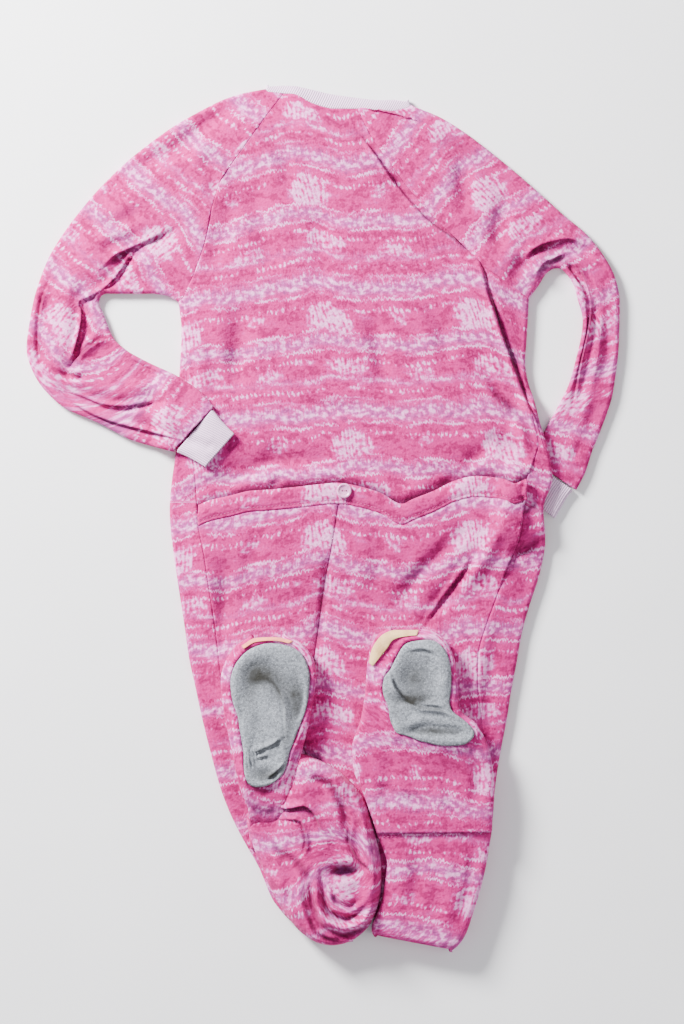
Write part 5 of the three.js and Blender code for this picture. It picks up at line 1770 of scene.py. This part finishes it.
@dataclass
class RolledLeg:
    """The left lower leg, twisted and rolled into a heap with its folds showing."""

    outline: Line
    centre: tuple[float, float] = (4.0, -450.0)
    level: float = 27.0
    full_rise: float = 9.0  # how much higher the heap's right side is
    pit_place: tuple[float, float] = (28.0, -473.0)
    pit_depth: float = 15.0
    swirl_place: tuple[float, float] = (25.0, -480.0)
    swirl_radius: float = 42.0
    swirl_turn: float = 1.9  # radians
    rings: int = 84
    parts: int = 14

    def build(self, fleece: bpy.types.Material) -> None:
        """Builds the heap.

        Args:
            fleece: Its finish.
        """
        closed = np.vstack([self.outline[-2:], self.outline, self.outline[:3]])
        edge = smooth_line(closed, self.parts)[2 * self.parts : -2 * self.parts]
        shares = 1 - np.linspace(0, 1, self.rings) ** 1.15
        centre = np.array(self.centre)
        plan = centre + (edge - centre)[None] * np.maximum(shares, 0.004)[:, None, None]
        x, y = plan[..., 0], plan[..., 1]
        to_edge = line_distance(x, y, edge)
        low = rest_height(edge[:, 0], edge[:, 1])[None] - 1
        # The heap is low on the left, where it runs out into the leg, and full on the right.
        full = smooth((x + 78) / 62)
        swell = 2.0 * np.sin(x / 13 + y / 19) + 1.6 * np.sin(x / 8 - y / 21)
        relief = crease_height(x, y, ROLL_CREASES) * smooth((to_edge + 2) / 8)
        pit_x, pit_y = self.pit_place
        pit = np.exp(-(((x - pit_x) / 19) ** 2 + ((y - pit_y) / 9) ** 2) ** 1.5)
        high = self.level + self.full_rise * full + 2.5 * smooth(to_edge / 30) + 0.6 * swell
        high = high + relief - self.pit_depth * pit
        reach = mix(34.0, 12.0, full)
        round_off = np.sqrt(1 - (1 - np.clip(to_edge / reach, 0, 1)) ** 2)
        places = np.stack([x, y, low + (high - low) * round_off], -1)
        # The twisted cloth turns its print round the hollow.
        u, v = x - self.swirl_place[0], y - self.swirl_place[1]
        turn = self.swirl_turn * np.exp(-((u**2 + v**2) / self.swirl_radius**2))
        prints = np.stack([u * np.cos(turn) - v * np.sin(turn), -u * np.sin(turn) - v * np.cos(turn)], -1)
        shade = np.clip(crease_shade(x, y, ROLL_CREASES) + 1.1 * pit, 0, 1)
        cloth = Cloth(places, prints, shade, inside=(*self.centre, -60.0))
        piece = cloth.mesh("left_leg_roll_cloth")
        nodes = ("left_lower_leg", "left_leg_outer_fold", "left_leg_inner_fold")
        finish_piece(piece, fleece, nodes, FLEECE)
        lay_sheet(piece, cloth)


@dataclass
class Sole:
    """A grey non-slip sole that lies on a foot, hollowed inside its soft rim."""

    name: str
    centre: tuple[float, float]
    radii: np.ndarray
    foot: FoldedStretch
    hollow: float = 4.4  # how far the soft rim stands over the middle
    rim: float = 8.0  # width of the rounded edge
    parts: int = 5
    rings: int = 40

    def build(self, finish: bpy.types.Material) -> None:
        """Builds the sole.

        Args:
            finish: Its finish.
        """
        count = len(self.radii)
        closed = np.concatenate([self.radii, self.radii[:1]])[:, None]
        padded = np.vstack([self.radii[-2:, None], closed, self.radii[1:3, None]])
        fine = smooth_line(padded, self.parts)[2 * self.parts : -2 * self.parts, 0]
        angle = np.linspace(0, 2 * math.pi, count * self.parts + 1)
        shares = np.linspace(0.02, 1, self.rings) ** 0.8
        reach = shares[:, None] * fine[None]
        x = self.centre[0] + reach * np.cos(angle)[None]
        y = self.centre[1] + reach * np.sin(angle)[None]
        to_rim = (1 - shares[:, None]) * fine[None]
        floor = self.foot.top(x, y) + SEAM_GAP + SOLE
        high = floor + self.hollow * (1 - 0.45 * smooth((to_rim - 6) / 30))
        high = high - self.hollow * (1 - np.sqrt(1 - (1 - np.clip(to_rim / self.rim, 0, 1)) ** 2))
        high = np.maximum(high + crease_height(x, y, SOLE_CREASES) * smooth(to_rim / 9), floor)
        # Grime and painted shade in the hollows, and painted shade along the creases.
        shade = np.zeros(x.shape)
        for u, v, wide, deep, strength in SOLE_SHADES:
            shade = shade + strength * np.exp(-(((x - u) / wide) ** 2 + ((y - v) / deep) ** 2))
        high = high - np.minimum(5.5 * shade, high - floor)
        shade = 1.35 * shade * smooth((to_rim - 2) / 8) + 0.75 * crease_shade(x, y, SOLE_CREASES)
        shade = np.clip(shade, 0, 1)
        places = np.stack([x, y, high], -1)
        centre_height = float(high[0].mean())
        places[0] = (self.centre[0], self.centre[1], centre_height)
        cloth = Cloth(places, places[..., :2].copy(), shade, inside=(*self.centre, -100.0))
        piece = cloth.mesh(f"{self.name}_cloth")
        finish_piece(piece, finish, (self.name,), SOLE)
        lay_sheet(piece, cloth)


@dataclass
class ToePatch:
    """A plain patch sewn over a toe."""

    name: str
    rows: Line
    foot: FoldedStretch

    def build(self, finish: bpy.types.Material) -> None:
        """Builds the patch.

        Args:
            finish: Its finish.
        """
        rows = smooth_line(self.rows, 8)
        shares = np.linspace(0, 1, 14)[None, :, None]
        plan = mix(rows[:, None, 0:2], rows[:, None, 2:4], shares)
        places = raised(plan, self.foot.top)
        places[..., 2] += 2 * LAP_GAP + PATCH + 0.5 * np.sin(math.pi * shares[..., 0])
        cloth = Cloth(places, plan.copy(), inside=(*plan.reshape(-1, 2).mean(0), -100.0))
        piece = cloth.mesh(f"{self.name}_cloth")
        finish_piece(piece, finish, (self.name,), PATCH)
        lay_sheet(piece, cloth)


def sew(
    line: np.ndarray, name: str, thread: bpy.types.Material, length: float = 3.4, gap: float = 1.6
) -> bpy.types.Object:
    """Lays a row of stitches along a line of places.

    Args:
        line: Places in millimetres.
        name: Name of the row.
        thread: Its finish.
        length: Length of one stitch.
        gap: Gap to the next.

    Returns:
        The row as one object.
    """
    run = np.concatenate([[0], np.cumsum(np.linalg.norm(np.diff(line, axis=0), axis=1))])
    shape = bmesh.new()
    at = gap
    while at + length < run[-1]:
        ends = [np.array([np.interp(s, run, line[:, k]) for k in range(3)]) for s in (at, at + length)]
        middle, way = Vector((ends[0] + ends[1]) / 2), Vector(ends[1] - ends[0])
        made = bmesh.ops.create_icosphere(shape, subdivisions=1, radius=0.45 * MM)
        turn = way.to_track_quat("X", "Z").to_matrix().to_4x4()
        bmesh.ops.scale(shape, vec=(length / 0.9, 1, 0.8), verts=made["verts"])
        bmesh.ops.transform(shape, matrix=turn, verts=made["verts"])
        bmesh.ops.translate(shape, vec=middle * MM, verts=made["verts"])
        at += length + gap
    piece = new_object(name, shape)
    finish_piece(piece, thread)
    return piece


@dataclass
class Button:
    """Two-hole button on the drop seat, with the thread through its holes and the slit below."""

    radius: float = 10.0
    hole: float = 1.1
    hole_spacing: float = 5.4

    def build(
        self, finish: bpy.types.Material, thread: bpy.types.Material, slit_and_hole_shadow: bpy.types.Material
    ) -> None:
        """Builds the button, its thread, and the painted shadow of its holes and of the buttonhole slit.

        Args:
            finish: Finish of the disc.
            thread: Finish of the stitch through its holes.
            slit_and_hole_shadow: Finish of the painted shadow in the slit below and in the holes.
        """
        low, high = (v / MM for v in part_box("button"))
        middle = Vector(((low.x + high.x) / 2, (low.y + high.y) / 2, low.z + 1.5))
        shape = bmesh.new()
        profile = ((0.0, 1.5), (5.6, 1.5), (6.8, 2.0), (7.6, 2.8), (8.8, 3.0), (9.7, 2.5), (10.0, 1.5),
                   (9.7, 0.6), (8.8, 0.1), (0.0, 0.0))
        verts = [shape.verts.new((r * MM, 0, z * MM)) for r, z in profile]
        edges = [shape.edges.new(pair) for pair in zip(verts[:-1], verts[1:])]
        bmesh.ops.spin(shape, geom=verts + edges, cent=(0, 0, 0), axis=(0, 0, 1), angle=2 * math.pi, steps=48,
                       use_merge=True)
        bmesh.ops.remove_doubles(shape, verts=shape.verts, dist=1e-6)
        bmesh.ops.recalc_face_normals(shape, faces=shape.faces)
        bmesh.ops.translate(shape, vec=middle * MM, verts=shape.verts)
        piece = new_object("button_disc", shape)
        finish_piece(piece, finish, ("button",))
        # Dark discs in the holes are painted shadow.
        holes = bmesh.new()
        for side in (-1, 1):
            made = bmesh.ops.create_cone(holes, cap_ends=True, segments=16, radius1=self.hole * MM,
                                         radius2=self.hole * MM, depth=0.5 * MM)
            place = middle + Vector((side * self.hole_spacing / 2, 0, 1.45))
            bmesh.ops.translate(holes, vec=place * MM, verts=made["verts"])
        dark = new_object("button_hole_shadows", holes)
        finish_piece(dark, slit_and_hole_shadow)
        # The slit is a dark line of painted shadow.
        slit = np.array([
            [middle.x + 0.2, middle.y - 9.5, low.z + 1.2], [middle.x - 0.6, middle.y - 22, low.z + 1.0],
        ])
        sew(slit, "buttonhole_slit_shadow", slit_and_hole_shadow, 11.0, 0.3)
        sew(np.array([[middle.x - 2.2, middle.y, low.z + 3.2], [middle.x + 2.2, middle.y, low.z + 3.2]]),
            "button_thread", thread, 2.6, 0.6)


@dataclass
class AnkleSeam:
    """Stitches across the folded right leg, where the foot is sewn on."""

    start: tuple[float, float] = (78.0, -427.0)
    end: tuple[float, float] = (222.0, -424.0)
    points: int = 60
    level: float = SHIN_LEVEL + 1.6

    def build(self, thread: bpy.types.Material) -> None:
        """Sews the seam."""
        line = np.linspace((*self.start, self.level), (*self.end, self.level), self.points)
        sew(line, "ankle_stitches", thread, 3.0, 2.2)


@dataclass
class Studio:
    """Pale floor, soft light and the camera straight above."""

    centre: tuple[float, float] = (0.0252, 0.0072)
    height: float = 3.5
    lens: float = 91.2

    def light(self, name: str, place: tuple[float, float, float], size: float, power: float) -> None:
        """Adds one soft light that faces the garment.

        Args:
            name: Name of the light.
            place: Its place in metres.
            size: Width of its square face in metres.
            power: Its power in watts.
        """
        data = bpy.data.lights.new(name, "AREA")
        data.size, data.energy = size, power
        lamp = bpy.data.objects.new(name, data)
        lamp.location = place
        lamp.rotation_euler = (Vector(place)).to_track_quat("Z", "Y").to_euler()
        bpy.context.scene.collection.objects.link(lamp)

    def build(self) -> None:
        """Sets the scene."""
        graph = Graph("pale_paper_floor")
        place = graph.place()
        grain = graph.noise(place, 4.0, 2.0)
        color = graph.add("ShaderNodeValToRGB", {"Fac": grain})
        set_ramp(color, [(0.3, linear("#f2f1f3")), (0.7, linear("#f6f5f7"))])
        graph.finish({"Base Color": color.outputs["Color"], "Roughness": 0.9})
        shape = bmesh.new()
        bmesh.ops.create_grid(shape, x_segments=1, y_segments=1, size=6.0)
        bmesh.ops.translate(shape, vec=(0, 0, -0.0005), verts=shape.verts)
        floor = new_object("floor", shape)
        floor.data.materials.append(graph.material)
        world = bpy.data.worlds.new("studio")
        world.use_nodes = True
        world.node_tree.nodes["Background"].inputs[0].default_value = (0.95, 0.95, 1.0, 1)
        world.node_tree.nodes["Background"].inputs[1].default_value = 0.62
        bpy.context.scene.world = world
        self.light("key", (-1.9, 1.8, 1.35), 0.8, 470)
        self.light("fill", (1.7, -0.6, 2.3), 2.2, 24)
        camera = bpy.data.cameras.new("camera")
        camera.lens = self.lens
        camera.sensor_width = 36.0
        camera.clip_end = 50
        eye = bpy.data.objects.new("camera", camera)
        eye.location = (*self.centre, self.height)
        bpy.context.scene.collection.objects.link(eye)
        bpy.context.scene.camera = eye


def heel_painted_shade(x: np.ndarray, y: np.ndarray) -> np.ndarray:
    """Painted shade on the fleece behind both heels.

    Args:
        x: Plan x of the points.
        y: Plan y of the points.

    Returns:
        How deep the painted shade is, 0 to 1.
    """
    darkened = np.zeros(np.shape(x))
    for u, v, wide, deep in HEELS:
        darkened = np.maximum(darkened, np.exp(-(((x - u) / wide) ** 2 + ((y - v) / deep) ** 2)))
    return HEEL_SHADE_STRENGTH * darkened


def main() -> None:
    """Builds the garment piece by piece."""
    logging.basicConfig(level=logging.INFO, format="%(message)s")
    Studio().build()
    fleece = FleeceFinish().make("plush_fleece_print")
    rib = RibFinish().make("rib_knit")
    grip = SoleFinish().make("nonslip_sole_cloth")
    cream = PatchFinish("#ddb683", "#b98f60").make("cream_fleece")
    peach = PatchFinish("#e88a66", "#c8606a").make("peach_fleece")
    thread = ThreadFinish().make("pink_thread")
    # A dark finish for the painted shadow in the buttonhole slit and the button's holes.
    slit_and_hole_shadow = ThreadFinish("#6b1f48").make("painted_hole_shadow")
    plastic = ButtonFinish().make("shell_button")
    for side in Side:
        Front(side).build(fleece)
    Bodice().build(fleece)
    seat = DropSeat()
    seat.build_band(fleece, thread)
    for side in Side:
        seat.build_half(side, fleece)
    for side in Side:
        Sleeve(side).build(fleece)
        Cuff(side).build(rib)
    Neckband().build(rib)
    shin_right = FoldedStretch(
        "right_lower_leg", SHIN_RIGHT, SHIN_LEVEL, ("first",), SHIN_CREASES, drop_rows=3
    )
    foot_right = FoldedStretch("right_bootie", FOOT_RIGHT, FOOT_LEVEL, ("last",), FOOT_CREASES)
    foot_left = FoldedStretch("left_bootie", FOOT_LEFT, FOOT_LEVEL, ("last",), FOOT_CREASES, sink=25)
    # The shins and booties get painted shade behind the heels.
    for stretch in (shin_right, foot_right, foot_left):
        stretch.build(fleece, heel_painted_shade)
    RolledLeg(ROLL_OUTLINE).build(fleece)
    Sole("left_sole", SOLE_LEFT[0], SOLE_LEFT[1], foot_left).build(grip)
    Sole("right_sole", SOLE_RIGHT[0], SOLE_RIGHT[1], foot_right).build(grip)
    ToePatch("left_toe_patch", PATCH_LEFT, foot_left).build(peach)
    ToePatch("right_toe_patch", PATCH_RIGHT, foot_right).build(cream)
    Button().build(plastic, thread, slit_and_hole_shadow)
    AnkleSeam().build(thread)


if __name__ == "__main__":
    main()
